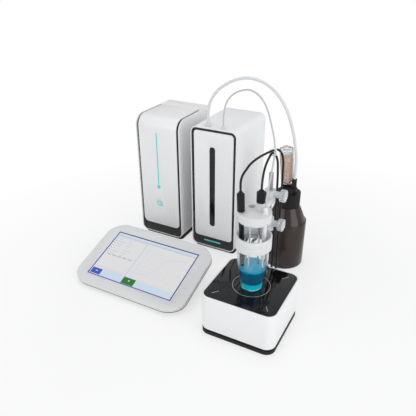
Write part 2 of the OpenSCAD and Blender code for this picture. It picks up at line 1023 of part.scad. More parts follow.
// Two decks joined by the guide rods
module burette_frame() {
    color("silver")
        at_burette() {
            difference() {
                for (z = [deck_z, upper_deck_z])
                    translate([0, 0, z])
                        round_plate(deck_size[0], deck_size[1], deck_t, deck_r);
                translate([0, 0, deck_z - cut])
                    cylinder(d = screw_hub_d + 2 * gap, h = deck_t + 2 * cut);
                translate([0, 0, upper_deck_z - cut])
                    cylinder(d = piston_rod_d + 2 * gap, h = deck_t + 2 * cut);
            }
            guide_pair(guide_d, deck_z, upper_deck_z);
        }
}

module burette_cylinder() {
    color("#e8eef060")
        at_burette()
            translate([0, 0, cylinder_low])
                difference() {
                    cylinder(r = cylinder_r, h = cylinder_high - cylinder_low);
                    translate([0, 0, -cut])
                        cylinder(d = cylinder_bore, h = cylinder_high);
                }
}

// Piston head, hollow rod and the nut that runs on the lead screw
module burette_piston() {
    color("#f4f4f4")
        at_burette()
            difference() {
                union() {
                    translate([0, 0, piston_top - piston_head_h])
                        cylinder(d = cylinder_bore - 2 * running_fit, h = piston_head_h);
                    translate([0, 0, nut_z])
                        cylinder(d = piston_rod_d, h = piston_top - piston_head_h - nut_z);
                    translate([0, 0, nut_z])
                        round_plate(nut_size[0], nut_size[1], nut_h, deck_r);
                }
                translate([0, 0, nut_z - cut])
                    cylinder(d = screw_d + 2 * running_fit, h = nut_h + 2 * cut);
                translate([0, 0, nut_z + nut_h])
                    cylinder(d = rod_bore_d, h = piston_top - piston_head_h - nut_z - nut_h);
                guide_pair(guide_d + 2 * running_fit, nut_z - cut, nut_z + nut_h + cut);
            }
}

module lead_screw() {
    color("darkgray")
        at_burette() {
            translate([0, 0, deck_z + gap])
                cylinder(d = screw_hub_d, h = screw_hub_top - deck_z - gap);
            translate([0, 0, screw_hub_top])
                cylinder(d = screw_d, h = screw_top - screw_hub_top);
        }
}

module drive_motor() {
    color("#2a2a2c")
        at_burette()
            translate([0, 0, bay_low])
                round_plate(motor_side, motor_side, deck_z - bay_low, motor_r);
}

// Switching valve on the cylinder, with a bridge to both fittings
module valve_block() {
    color("#d8dadc")
        at_burette() {
            translate([-valve_w / 2, -valve_w / 2, cylinder_high])
                cube([valve_w, valve_w, valve_split - cylinder_high]);
            translate([-valve_reach[0] / 2, valve_w / 2 - valve_reach[1], valve_split])
                cube([valve_reach[0], valve_reach[1], valve_top - valve_split]);
        }
}

// Hose nipple and tube nut on the casing's top, with their stems down to the valve
module tube_fittings() {
    color("#303234")
        at_dosing() {
            translate([suction_place[0], suction_place[1], valve_top]) {
                cylinder(d = stem_d, h = dosing_h + fitting_rise - valve_top);
                translate([0, 0, dosing_h - valve_top])
                    cylinder(d = fitting_d, h = fitting_rise - 3);
            }
            translate([outlet_place[0], outlet_place[1], valve_top]) {
                cylinder(d = stem_d, h = dosing_h - valve_top);
                translate([0, 0, dosing_h - valve_top])
                    cylinder(d1 = fitting_d - 2, d2 = tube_d + 2, h = outlet_rise);
            }
        }
}

module dosing_rear_panel() {
    color("#3a3c3e")
        at_dosing()
            difference() {
                translate([0, dosing_d - rear_t, rear_z])
                    from_front(rear_t)
                        round_outline(rear_w, rear_h, rear_r);
                for (p = data_ports)
                    translate([p[0], dosing_d - inlet_depth, p[1]])
                        from_front(inlet_depth + cut)
                            square(data_size, center = true);
                for (i = [0 : grille_count - 1])
                    translate([-grille_w / 2, dosing_d - inlet_depth, grille_z + i * grille_pitch])
                        cube([grille_w, inlet_depth + cut, grille_slot]);
            }
}

// Four rubber feet under each tower
module tower_feet() {
    color("#101010")
        for (tower = [[control_place, control_w, control_d], [dosing_place, dosing_w, dosing_d]])
            for (sx = [-1, 1], y = [foot_inset, tower[2] - foot_inset])
                translate([tower[0][0] + sx * (tower[1] / 2 - foot_inset), tower[0][1] + y, 0])
                    cylinder(d = tower_foot_d, h = tower_foot_h);
}

// ------------------------------------------------------------ stirrer and stand

module at_rod() {
    translate([rod_place[0], rod_place[1], 0])
        children();
}

module stirrer_housing() {
    color("white")
        difference() {
            translate([0, 0, housing_low])
                round_plate(stirrer_w, stirrer_d, stirrer_h - housing_low, stirrer_r);
            translate([0, 0, glass_low])
                round_plate(glass_w, glass_d, glass_t + cut, glass_r);
            translate([0, 0, housing_low - cut])
                round_plate(stirrer_w - 2 * stirrer_wall, stirrer_d - 2 * stirrer_wall,
                    cavity_top - housing_low + cut, pad_inset - stirrer_wall);
            at_rod() {
                translate([0, 0, glass_low])
                    cylinder(d = collar_d, h = stirrer_h);
                translate([0, 0, stirrer_h - glass_t - rod_seat])
                    cylinder(d = rod_d, h = stirrer_h);
            }
            translate([stirrer_port[0], stirrer_d / 2 - inlet_depth, stirrer_port[1]])
                from_front(inlet_depth + cut)
                    square(stirrer_port_size, center = true);
        }
}

module pad_places() {
    for (sx = [-1, 1], sy = [-1, 1])
        translate([sx * (stirrer_w / 2 - pad_inset), sy * (stirrer_d / 2 - pad_inset), 0])
            children();
}

// Dark base with the set-in black gap above it
module stirrer_base() {
    color("#3a3c3e")
        difference() {
            union() {
                round_plate(stirrer_w, stirrer_d, stirrer_base_h, stirrer_r);
                round_plate(stirrer_w - 2 * stirrer_gap_inset, stirrer_d - 2 * stirrer_gap_inset,
                    housing_low, stirrer_r - stirrer_gap_inset);
            }
            translate([0, 0, -cut])
                pad_places()
                    cylinder(d = pad_d, h = pad_t + cut);
        }
}

module stirrer_glass() {
    color("#101012")
        difference() {
            translate([0, 0, glass_low])
                round_plate(glass_w, glass_d, glass_t, glass_r);
            at_rod()
                translate([0, 0, glass_low - cut])
                    cylinder(d = collar_d, h = glass_t + 2 * cut);
        }
}

module stirrer_pads() {
    color("#202020")
        pad_places()
            cylinder(d = pad_d, h = pad_t);
}

module stirrer_motor() {
    color("silver") {
        translate([0, 0, housing_low])
            cylinder(d = stir_motor_d, h = stir_motor_top - housing_low);
        translate([0, 0, stir_motor_top])
            cylinder(d = stir_shaft_d, h = shaft_top - stir_motor_top);
    }
}

// Yoke on the motor's shaft with two magnet poles
module drive_magnet() {
    color("#5a5c60")
        difference() {
            union() {
                translate([0, 0, yoke_low])
                    cylinder(d = yoke_d, h = yoke_h);
                for (side = [-1, 1])
                    translate([side * pole_offset, 0, yoke_low + yoke_h])
                        cylinder(d = pole_d, h = pole_h);
            }
            translate([0, 0, yoke_low - cut])
                cylinder(d = stir_shaft_d + 2 * running_fit, h = shaft_top - yoke_low + cut + gap);
        }
}

module rod_collar() {
    color("silver")
        at_rod()
            translate([0, 0, glass_low])
                difference() {
                    cylinder(d = collar_d, h = collar_top - glass_low);
                    translate([0, 0, -cut])
                        cylinder(d = rod_d, h = collar_top);
                }
}

module stand_rod() {
    color("silver")
        at_rod()
            rotate_extrude() {
                translate([0, stirrer_h - glass_t - rod_seat])
                    square([rod_d / 2, rod_top - rod_round - stirrer_h + glass_t + rod_seat]);
                square_top();
            }
}

// Upper end of the rod's profile with its rounded edge
module square_top() {
    translate([0, rod_top - rod_round])
        square([rod_d / 2 - rod_round, rod_round]);
    intersection() {
        translate([rod_d / 2 - rod_round, rod_top - rod_round])
            circle(r = rod_round);
        translate([0, rod_top - rod_round])
            square([rod_d / 2, rod_round]);
    }
}

// Clamp boss round the rod with its screw lug towards +X
module clamp_boss(low, screw_z) {
    at_rod() {
        translate([0, 0, low])
            cylinder(d = boss_d, h = boss_h);
        translate([0, 0, screw_z])
            bar_x(lug_d, lug_len);
    }
}

// Bores for the rod and the clamp screw
module clamp_bores(low, screw_z) {
    at_rod() {
        translate([0, 0, low - cut])
            cylinder(d = rod_d + 2 * running_fit, h = boss_h + 2 * cut);
        translate([rod_d / 2, 0, screw_z])
            bar_x(clamp_screw_d + 2 * running_fit, lug_len);
    }
}

// Fluted knob with its screw, which ends just short of the rod
module clamp_knob(screw_z) {
    at_rod()
        translate([lug_len + gap, 0, screw_z]) {
            difference() {
                bar_x(knob_d, knob_t);
                for (k = [1 : knob_flutes])
                    rotate([k * 360 / knob_flutes, 0, 0])
                        translate([-cut, 0, knob_d / 2 + 0.8])
                            bar_x(4, knob_t + 2 * cut);
            }
            translate([rod_d / 2 + 2 * gap - lug_len - gap, 0, 0])
                bar_x(clamp_screw_d, lug_len + gap - rod_d / 2 - 2 * gap);
        }
}

// Arm from a holder's round body back to its clamp boss
module holder_arm(from, low) {
    translate([rod_place[0] - arm_w / 2, from, low])
        cube([arm_w, rod_place[1] - from, arm_h]);
}

module vessel_ring() {
    color("#e8eaec")
        difference() {
            union() {
                translate([0, 0, ring_z])
                    cylinder(r = ring_r, h = ring_h, $fn = arc_fn);
                holder_arm(vessel_mouth_r, ring_boss_z);
                clamp_boss(ring_boss_z, ring_screw_z);
            }
            translate([0, 0, ring_z - cut])
                cylinder(r = vessel_mouth_r, h = ring_h + 2 * cut, $fn = arc_fn);
            translate([0, 0, brim_z])
                cylinder(r = brim_r, h = ring_h, $fn = arc_fn);
            clamp_bores(ring_boss_z, ring_screw_z);
        }
}

module ring_knob() {
    color("#c8ccd080")
        clamp_knob(ring_screw_z);
}

// Half profile of the vessel's inside or outside, from its foot up
module vessel_profile(inset, low, high) {
    taper_top = vessel_z + vessel_taper_h;
    slope = (vessel_mouth_r - vessel_foot_r) / vessel_taper_h;
    foot_r = vessel_foot_r - inset + slope * (low - vessel_z);
    polygon([[0, low], [foot_r, low], [vessel_mouth_r - inset, taper_top],
        [vessel_mouth_r - inset, high], [0, high]]);
}

module vessel() {
    color("#e8f2f670")
        rotate_extrude($fn = arc_fn)
            difference() {
                union() {
                    vessel_profile(0, vessel_z, vessel_top);
                    translate([vessel_mouth_r - cut, brim_z])
                        square([brim_w + cut, brim_t]);
                }
                vessel_profile(vessel_wall, vessel_z + vessel_floor, vessel_top + cut);
            }
}

// Well in the sample for a part that dips into it, deep enough for the vessel's lift
module sample_well(place, d, end) {
    translate([place[0], place[1], end - ring_travel - well_gap])
        cylinder(d = d + 2 * well_gap, h = vessel_top);
}

// Liquid in the vessel, clear of the stir bar and of all that dips into it
module sample() {
    low = vessel_z + vessel_floor;
    dip = head_top - electrode_end;
    color("#3c9cd0a0")
        difference() {
            rotate_extrude($fn = arc_fn)
                intersection() {
                    vessel_profile(vessel_wall, low, vessel_top);
                    square([vessel_mouth_r, low + sample_h]);
                }
            translate([0, 0, low - cut])
                cylinder(r = bar_pocket_r, h = bar_pocket_h + cut);
            sample_well(port(electrode_r - dip * tan(electrode_lean) + 0.3, electrode_angle),
                electrode_tip_d + 1, electrode_end);
            sample_well(port(probe_r, probe_angle), probe_d, probe_end);
            sample_well(port(tip_r, tip_angle), tip_neck_d, tip_end);
            sample_well(port(vent_r, vent_angle), vent_tube_d, probe_end);
        }
}

// Bar with round ends, lying across the vessel's bottom
module stir_bar() {
    color("white")
        translate([0, 0, bar_z])
            rotate([0, 90, 0])
                rotate_extrude()
                    intersection() {
                        translate([0, -stir_bar_len / 2])
                            square([stir_bar_d / 2, stir_bar_len]);
                        round_outline(stir_bar_d, stir_bar_len, stir_bar_d / 2 - 0.5);
                    }
}

// ------------------------------------------------------------ titration head

// Frame of the leaning electrode, its origin at the plate's top
module at_electrode() {
    rotate([0, 0, electrode_angle])
        translate([electrode_r, 0, head_top])
            rotate([0, electrode_lean, 0])
                children();
}

module at_port(r, angle, z) {
    translate([r * cos(angle), r * sin(angle), z])
        children();
}

module head_plate() {
    color("#f0f2f2c0")
        difference() {
            union() {
                translate([0, 0, head_z])
                    cylinder(d = head_d, h = head_t, $fn = arc_fn);
                holder_arm(head_d / 2 - 4, head_boss_z);
                clamp_boss(head_boss_z, head_screw_z);
                at_port(probe_r, probe_angle, head_top - cut)
                    cylinder(d = sleeve_d, h = sleeve_h + cut);
            }
            clamp_bores(head_boss_z, head_screw_z);
            at_electrode()
                translate([0, 0, -2 * head_t])
                    cylinder(d = electrode_d + 2 * port_fit, h = 4 * head_t);
            at_port(probe_r, probe_angle, head_z - cut)
                cylinder(d = probe_d, h = head_t + sleeve_h + 2 * cut);
            at_port(tip_r, tip_angle, head_z - cut)
                cylinder(d = tip_d, h = head_t + 2 * cut);
            at_port(vent_r, vent_angle, head_z - cut)
                cylinder(d = vent_spigot_d, h = head_t + 2 * cut);
            at_port(spare_r, spare_angle, head_z - cut)
                cylinder(d = spare_d, h = head_t + 2 * cut);
        }
}

module head_knob() {
    color("#c8ccd080")
        clamp_knob(head_screw_z);
}

// Shaft with its collar on the plate and its thinner tip
module electrode() {
    reach = (head_top - electrode_end) / cos(electrode_lean);
    color("#141416")
        at_electrode() {
            translate([0, 0, 2 * port_fit])
                cylinder(d = electrode_collar_d, h = electrode_collar_h - 2 * port_fit);
            translate([0, 0, electrode_tip_len - reach])
                cylinder(d = electrode_d, h = reach - electrode_tip_len + electrode_collar_h);
            translate([0, 0, -reach])
                cylinder(d = electrode_tip_d, h = electrode_tip_len);
        }
}

module electrode_cap() {
    color("#18181a")
        at_electrode()
            translate([0, 0, electrode_collar_h]) {
                cylinder(d = electrode_cap_d, h = electrode_cap_h);
                translate([0, 0, electrode_cap_h])
                    cylinder(d1 = electrode_cap_d - 4, d2 = relief_d, h = electrode_relief_h);
            }
}

module temperature_probe() {
    color("silver")
        at_port(probe_r, probe_angle, probe_end)
            cylinder(d = probe_d, h = head_top + sleeve_h - probe_end);
}

module probe_cap() {
    color("#18181a")
        at_port(probe_r, probe_angle, head_top + sleeve_h) {
            cylinder(d = sleeve_d, h = probe_cap_h);
            translate([0, 0, probe_cap_h])
                cylinder(d1 = sleeve_d - 4, d2 = relief_d, h = electrode_relief_h);
        }
}

// Dosing tip with its collar on the plate, tapering to a point over the sample
module dosing_tip() {
    color("white")
        at_port(tip_r, tip_angle, 0) {
            translate([0, 0, tip_shoulder_z])
                cylinder(d = tip_d, h = tip_top - tip_shoulder_z);
            translate([0, 0, head_top])
                cylinder(d = tip_collar_d, h = tip_collar_h);
            translate([0, 0, tip_neck_z])
                cylinder(d1 = tip_neck_d, d2 = tip_d, h = tip_shoulder_z - tip_neck_z);
            translate([0, 0, tip_end])
                cylinder(d1 = tip_point_d, d2 = tip_neck_d, h = tip_neck_z - tip_end);
        }
}

// Plug on the plate with the vent tube that hangs from it
module vent_plug() {
    color("white")
        at_port(vent_r, vent_angle, 0) {
            translate([0, 0, head_top])
                cylinder(d = vent_d, h = vent_h);
            translate([0, 0, head_z])
                cylinder(d = vent_spigot_d, h = head_t);
            translate([0, 0, probe_end])
                cylinder(d = vent_tube_d, h = head_z - probe_end);
        }
}

// ------------------------------------------------------------ bottle

module at_bottle() {
    translate([bottle_place[0], bottle_place[1], 0])
        children();
}

// Half profile of the bottle's body, drawn in by an inset
module bottle_profile(inset) {
    polygon([[0, inset], [bottle_r - inset - bottle_round, inset],
        [bottle_r - inset, inset + bottle_round],
        [bottle_r - inset, ledge_z - inset], [bottle_r - ledge_in - inset, ledge_z - inset],
        [shoulder_r - inset, neck_z - inset], [0, neck_z - inset]]);
}

module bottle() {
    color("#3a2c28")
        at_bottle()
            rotate_extrude($fn = arc_fn)
                difference() {
                    union() {
                        bottle_profile(0);
                        translate([0, neck_z - cut])
                            square([neck_r, neck_top - neck_z + cut]);
                    }
                    bottle_profile(bottle_wall);
                    translate([0, bottle_wall])
                        square([neck_r - bottle_wall, neck_top]);
                }
}

// Ribbed screw ring round the neck, open in the middle for the stopper
module bottle_cap() {
    color("#1a1a1c")
        at_bottle()
            difference() {
                translate([0, 0, cap_low])
                    cylinder(r = cap_r, h = cap_top - cap_low, $fn = arc_fn);
                translate([0, 0, cap_low - cut])
                    cylinder(r = neck_r + gap, h = cap_ceiling - cap_low + cut, $fn = arc_fn);
                translate([0, 0, cap_low])
                    cylinder(r = stopper_r + gap, h = cap_top, $fn = arc_fn);
                for (k = [1 : cap_ribs])
                    rotate([0, 0, k * 360 / cap_ribs])
                        translate([cap_r + rib_d / 4, 0, cap_low - cut])
                            cylinder(d = rib_d, h = cap_top - cap_low - 1, $fn = 16);
            }
}

// Frame of the leaning drying tube, its origin on the stopper's top
module at_dryer() {
    translate([bottle_place[0] + dryer_seat[0], bottle_place[1] + dryer_seat[1], stopper_top])
        rotate(a = drying_lean, v = dryer_lean_axis)
            children();
}

// Stopper in the neck, with the hose socket on its side lug and the drying tube's seat
module bottle_stopper() {
    color("#1c1c1e")
        difference() {
            union() {
                at_bottle() {
                    translate([0, 0, neck_top - stopper_plug_len])
                        cylinder(r = neck_r - bottle_wall, h = stopper_plug_len);
                    translate([0, 0, neck_top])
                        cylinder(r = neck_r, h = stopper_flange_t);
                    translate([0, 0, neck_top])
                        cylinder(r = stopper_r, h = stopper_top - neck_top);
                    translate([hose_socket[0], hose_socket[1], stopper_top - lug_size[1]])
                        cylinder(d = lug_size[0], h = lug_size[1]);
                    translate([hose_socket[0], hose_socket[1], stopper_top])
                        cylinder(r = hose_socket_r, h = hose_socket_top - stopper_top);
                }
                at_dryer()
                    translate([0, 0, -2])
                        cylinder(r = dryer_boss_r, h = dryer_boss_h + 2);
            }
            at_dryer()
                translate([0, 0, -dryer_neck_len - gap])
                    cylinder(r = dryer_neck_r + running_fit, h = 2 * dryer_neck_len);
        }
}

// Clear barrel with the neck that sits in the stopper
module drying_tube() {
    color("#f0f2f260")
        at_dryer()
            difference() {
                union() {
                    translate([0, 0, -dryer_neck_len])
                        cylinder(r = dryer_neck_r, h = dryer_neck_len + dryer_boss_h + gap);
                    translate([0, 0, dryer_boss_h + gap])
                        cylinder(r = drying_r, h = drying_len);
                }
                translate([0, 0, -dryer_neck_len - cut])
                    cylinder(r = dryer_neck_r - dryer_wall, h = drying_len);
                translate([0, 0, dryer_boss_h + gap + dryer_wall])
                    cylinder(r = drying_r - dryer_wall, h = drying_len);
            }
}

module drying_granules() {
    color("#d8b49c")
        at_dryer()
            translate([0, 0, granule_low])
                cylinder(r = drying_r - dryer_wall, h = drying_len - granule_low - 2);
}

module drying_cap() {
    color("#e8e8e8a0")
        at_dryer()
            translate([0, 0, dryer_boss_h + gap + drying_len]) {
                translate([0, 0, -dryer_cap_t])
                    cylinder(r = drying_r - dryer_wall, h = dryer_cap_t);
                cylinder(r = drying_r, h = dryer_cap_t);
                translate([0, 0, dryer_cap_t])
                    cylinder(r = dryer_nub_r, h = dryer_nub_h);
            }
}

// ------------------------------------------------------------ terminal

// Frame of the tilted terminal: X centred, Y up its slope, Z out of the screen
module at_tablet() {
    translate([tablet_place[0], tablet_place[1], -tablet_drop])
        rotate([tablet_tilt, 0, 0])
            children();
}

// White housing with rounded edges and corners
module tablet_housing() {
    color("white")
        at_tablet()
            difference() {
                translate([0, tablet_l / 2, 0])
                    hull()
                        for (sx = [-1, 1], sy = [-1, 1])
                            translate([sx * (tablet_w / 2 - tablet_r),
                                sy * (tablet_l / 2 - tablet_r), 0])
                                tablet_corner();
                translate([-screen_w / 2, screen_margin, tablet_top - screen_recess - screen_t])
                    cube([screen_w, screen_h, tablet_top]);
            }
}

// One round corner of the housing, between the back and the face
module tablet_corner() {
    rotate_extrude($fn = 48)
        intersection() {
            translate([0, tablet_back_t])
                square([tablet_r, tablet_t]);
            translate([0, tablet_top - tablet_t / 2])
                round_outline(2 * tablet_r, tablet_t, tablet_edge_r, $fn = 24);
        }
}

// Dark back shell with the fixed foot that holds the terminal at its tilt
module tablet_back() {
    color("#3c3e40") {
        at_tablet()
            translate([0, tablet_l / 2, 0])
                round_plate(tablet_w - 2 * tablet_back_inset, tablet_l - 2 * tablet_back_inset,
                    tablet_back_t, tablet_r - tablet_back_inset);
        translate([tablet_place[0], tablet_place[1], 0])
            across(tablet_foot_w)
                polygon([[foot_from, 0], [foot_to, 0],
                    [foot_to, foot_to * tan(tablet_tilt) - tablet_drop],
                    [foot_from, foot_from * tan(tablet_tilt) - tablet_drop]]);
    }
}

module tablet_screen() {
    color("#c8d8ec")
        at_tablet()
            translate([-screen_w / 2, screen_margin, tablet_top - screen_recess - screen_t])
                cube([screen_w, screen_h, screen_t]);
}

// ------------------------------------------------------------ hoses and cables

module suction_hose() {
    color("#dce4ecc0")
        swept_tube(hose_route, hose_d, 2, 12);
}

module dosing_tube() {
    color("#f4f4f4")
        swept_tube(tube_route, tube_d, 2, 8);
}

module electrode_cable() {
    color("#2a2c2e")
        swept_tube(electrode_route, cable_d, 2, 8);
}

module probe_cable() {
    color("#2a2c2e")
        swept_tube(probe_route, cable_d, 2, 8);
}

// Band round both cables and the dosing tube where they cross
module cable_tie() {
    color("white")
        translate(tie_place)
            translate([0, -tie_w / 2, 0])
                from_front(tie_w)
                    difference() {
                        tie_outline(tie_gap + tie_t);
                        tie_outline(tie_gap);
                    }
}

// Outline round the three lines at the tie, drawn out by a margin
module tie_outline(margin) {
    hull() {
        for (p = tie_cables)
            translate(p)
                circle(r = cable_d / 2 + margin, $fn = 24);
        for (p = tie_tube)
            translate(p)
                circle(r = tube_d / 2 + margin, $fn = 24);
    }
}

control_shell();
control_trim();
control_panel();
control_plinth();
light_strip();
standby_button();
control_rear_panel();
power_rocker();
sensor_jacks();
dosing_shell();
dosing_bezel();
dosing_panel();
burette_window();
status_lamp();
dosing_plinth();
burette_frame();
burette_cylinder();
burette_piston();
lead_screw();
drive_motor();
valve_block();
tube_fittings();
dosing_rear_panel();
tower_feet();
stirrer_housing();
stirrer_base();
stirrer_glass();
stirrer_pads();
stirrer_motor();
drive_magnet();
rod_collar();
stand_rod();
vessel_ring();
ring_knob();
vessel();
sample();
stir_bar();
head_plate();
head_knob();
electrode();
electrode_cap();
temperature_probe();
probe_cap();
dosing_tip();
vent_plug();
bottle();
bottle_cap();
bottle_stopper();
drying_tube();
drying_granules();
drying_cap();
tablet_housing();
tablet_back();
tablet_screen();
suction_hose();
dosing_tube();
electrode_cable();
probe_cable();
cable_plugs();
cable_tie();
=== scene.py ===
import bpy
import math
from mathutils import Matrix, Vector


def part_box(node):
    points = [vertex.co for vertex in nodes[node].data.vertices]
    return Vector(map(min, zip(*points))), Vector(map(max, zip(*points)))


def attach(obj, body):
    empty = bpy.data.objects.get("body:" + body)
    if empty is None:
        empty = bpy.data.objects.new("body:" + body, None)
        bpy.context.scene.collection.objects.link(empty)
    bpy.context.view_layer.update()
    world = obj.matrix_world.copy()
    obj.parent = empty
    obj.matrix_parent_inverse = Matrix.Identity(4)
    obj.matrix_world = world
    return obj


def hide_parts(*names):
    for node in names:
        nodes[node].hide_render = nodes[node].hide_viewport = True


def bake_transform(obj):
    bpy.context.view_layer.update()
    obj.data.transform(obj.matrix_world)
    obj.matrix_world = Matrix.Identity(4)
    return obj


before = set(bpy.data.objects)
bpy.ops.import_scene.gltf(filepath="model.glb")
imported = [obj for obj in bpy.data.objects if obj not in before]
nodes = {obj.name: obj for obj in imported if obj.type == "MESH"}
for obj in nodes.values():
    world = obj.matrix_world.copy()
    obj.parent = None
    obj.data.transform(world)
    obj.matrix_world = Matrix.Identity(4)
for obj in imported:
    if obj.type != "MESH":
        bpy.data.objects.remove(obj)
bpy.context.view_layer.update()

# ---------------------------------------------------------------- camera
# One camera in front of the stirrer's corner, looking down on the whole set.
# The lens gives the image its perspective on a 36 mm wide sensor.
camera_place = (0.2616, -0.6603, 0.6209)
camera_turn = 0.489
camera_dip = 0.489
camera_roll = -0.003
camera_lens = 41.22

bpy.ops.object.camera_add(location=camera_place)
camera = bpy.context.object
camera.rotation_mode = "XYZ"
sideways = Matrix.Rotation(camera_turn, 4, "Z")
downward = Matrix.Rotation(math.pi / 2 - camera_dip, 4, "X")
rolled = Matrix.Rotation(camera_roll, 4, "Z")
camera.matrix_world = Matrix.Translation(camera_place) @ sideways @ downward @ rolled
camera.data.lens = camera_lens
camera.data.sensor_width = 36
camera.data.clip_start = 0.02
bpy.context.scene.camera = camera


# ---------------------------------------------------------------- hoses and cables
# A clear suction hose from the dosing tower to the bottle, a thin dosing tube to the head,
# and two rubber cables from the head down to the table and round to the control tower.
hose_d = 0.006
tube_d = 0.003
cable_d = 0.004
hose_route = [
    (-0.195, 0.2, 0.308), (-0.195, 0.2, 0.32), (-0.195, 0.2, 0.332), (-0.19, 0.201, 0.353),
    (-0.178, 0.203, 0.373), (-0.16, 0.205, 0.389), (-0.138, 0.207, 0.401),
    (-0.113, 0.21, 0.407), (-0.088, 0.212, 0.404), (-0.066, 0.214, 0.394),
    (-0.048, 0.216, 0.378), (-0.034, 0.218, 0.358), (-0.023, 0.22, 0.334),
    (-0.015, 0.222, 0.308), (-0.009, 0.223, 0.282), (-0.005, 0.224, 0.256),
    (-0.004, 0.225, 0.231), (-0.004, 0.225, 0.219), (-0.004, 0.225, 0.207)]
tube_route = [
    (-0.159, 0.2, 0.306), (-0.159, 0.2, 0.314), (-0.159, 0.2, 0.322), (-0.156, 0.197, 0.34),
    (-0.148, 0.19, 0.358), (-0.135, 0.18, 0.374), (-0.118, 0.168, 0.387),
    (-0.098, 0.155, 0.397), (-0.076, 0.14, 0.403), (-0.054, 0.122, 0.402),
    (-0.035, 0.105, 0.395), (-0.019, 0.088, 0.382), (-0.006, 0.073, 0.364),
    (0.004, 0.062, 0.345), (0.009, 0.054, 0.327), (0.012, 0.042, 0.314),
    (0.0145, 0.03, 0.304), (0.017, 0.018, 0.294), (0.0185, 0.008, 0.282),
    (0.0185, 0.002, 0.266), (0.0185, 0.0013, 0.258), (0.0185, 0.0013, 0.25)]
electrode_route = [
    (-0.0223, -0.012, 0.276), (-0.0227, -0.0122, 0.284), (-0.023, -0.011, 0.294),
    (-0.022, -0.007, 0.303), (-0.019, 0, 0.311), (-0.015, 0.011, 0.319),
    (-0.0085, 0.025, 0.325), (-0.002, 0.04, 0.328), (0.0038, 0.054, 0.3292),
    (0.009, 0.067, 0.328), (0.013, 0.077, 0.319), (0.015, 0.083, 0.303),
    (0.015, 0.086, 0.28), (0.015, 0.087, 0.24), (0.015, 0.087, 0.2), (0.015, 0.087, 0.16),
    (0.015, 0.087, 0.12), (0.015, 0.088, 0.08), (0.014, 0.091, 0.045), (0.009, 0.098, 0.02),
    (-0.004, 0.108, 0.006), (-0.024, 0.12, 0.0022), (-0.048, 0.134, 0.0022),
    (-0.072, 0.152, 0.0022), (-0.091, 0.176, 0.0022), (-0.101, 0.21, 0.0022),
    (-0.105, 0.255, 0.0022), (-0.105, 0.3, 0.0022), (-0.109, 0.338, 0.0022),
    (-0.122, 0.367, 0.0022), (-0.15, 0.385, 0.0022), (-0.19, 0.391, 0.0022),
    (-0.235, 0.392, 0.0022), (-0.275, 0.392, 0.0022), (-0.302, 0.392, 0.006),
    (-0.316, 0.391, 0.024), (-0.32, 0.386, 0.046), (-0.32, 0.377, 0.06),
    (-0.32, 0.368, 0.06), (-0.32, 0.36, 0.06)]
probe_route = [
    (0.006, 0.01, 0.276), (0.006, 0.01, 0.284), (0.006, 0.011, 0.292), (0.005, 0.017, 0.302),
    (0.004, 0.026, 0.311), (0.0035, 0.039, 0.319), (0.0038, 0.054, 0.3246),
    (0.006, 0.065, 0.32), (0.008, 0.073, 0.306), (0.008, 0.078, 0.288), (0.008, 0.081, 0.262),
    (0.008, 0.082, 0.225), (0.008, 0.082, 0.185), (0.008, 0.082, 0.145),
    (0.008, 0.082, 0.105), (0.008, 0.082, 0.07), (0.007, 0.084, 0.046),
    (0.003, 0.089, 0.024), (-0.008, 0.0975, 0.008), (-0.026, 0.109, 0.0022),
    (-0.05, 0.123, 0.0022), (-0.075, 0.14, 0.0022), (-0.095, 0.163, 0.0022),
    (-0.106, 0.195, 0.0022), (-0.1105, 0.235, 0.0022), (-0.1105, 0.275, 0.0022),
    (-0.111, 0.318, 0.0022), (-0.1185, 0.35, 0.0022), (-0.139, 0.372, 0.0022),
    (-0.17, 0.38, 0.0022), (-0.21, 0.382, 0.0022), (-0.248, 0.382, 0.0022),
    (-0.272, 0.382, 0.007), (-0.287, 0.383, 0.022), (-0.294, 0.384, 0.043),
    (-0.295, 0.38, 0.056), (-0.295, 0.373, 0.06), (-0.295, 0.366, 0.06), (-0.295, 0.36, 0.06)]


def smoothed(route, steps):
    """The route with extra points between its own, on one smooth curve."""
    points = [Vector(p) for p in route]
    line = []
    for i in range(len(points) - 1):
        before = points[max(i - 1, 0)]
        here = points[i]
        there = points[i + 1]
        after = points[min(i + 2, len(points) - 1)]
        for step in range(steps):
            t = step / steps
            line.append((2 * here + (there - before) * t
                         + (2 * before - 5 * here + 4 * there - after) * t * t
                         + (3 * here - before - 3 * there + after) * t * t * t) / 2)
    line.append(points[-1])
    return line


def drawn_tube(name, line, diameter):
    """A round tube drawn along a line, its ends closed."""
    bpy.ops.object.select_all(action="DESELECT")
    bpy.ops.curve.primitive_nurbs_path_add()
    tube = bpy.context.object
    tube.name = name
    curve = tube.data
    curve.splines.clear()
    spline = curve.splines.new("POLY")
    spline.points.add(len(line) - 1)
    for point, place in zip(spline.points, line):
        point.co = (*place, 1)
    curve.bevel_depth = diameter / 2
    curve.bevel_resolution = 3
    curve.use_fill_caps = True
    bpy.ops.object.convert(target="MESH")
    bpy.ops.object.shade_smooth_by_angle(angle=math.radians(50))
    return tube


def new_finish(name, colour, roughness, metallic=0.0, coat=0.0, shine=0.5):
    """A material with its shader's plain values, and the handles to add nodes to it."""
    finish = bpy.data.materials.new(name)
    finish.use_nodes = True
    tree = finish.node_tree
    shader = tree.nodes["Principled BSDF"]
    shader.inputs["Base Color"].default_value = (*colour, 1)
    shader.inputs["Roughness"].default_value = roughness
    shader.inputs["Metallic"].default_value = metallic
    shader.inputs["Coat Weight"].default_value = coat
    shader.inputs["Specular IOR Level"].default_value = shine
    return finish, tree, shader


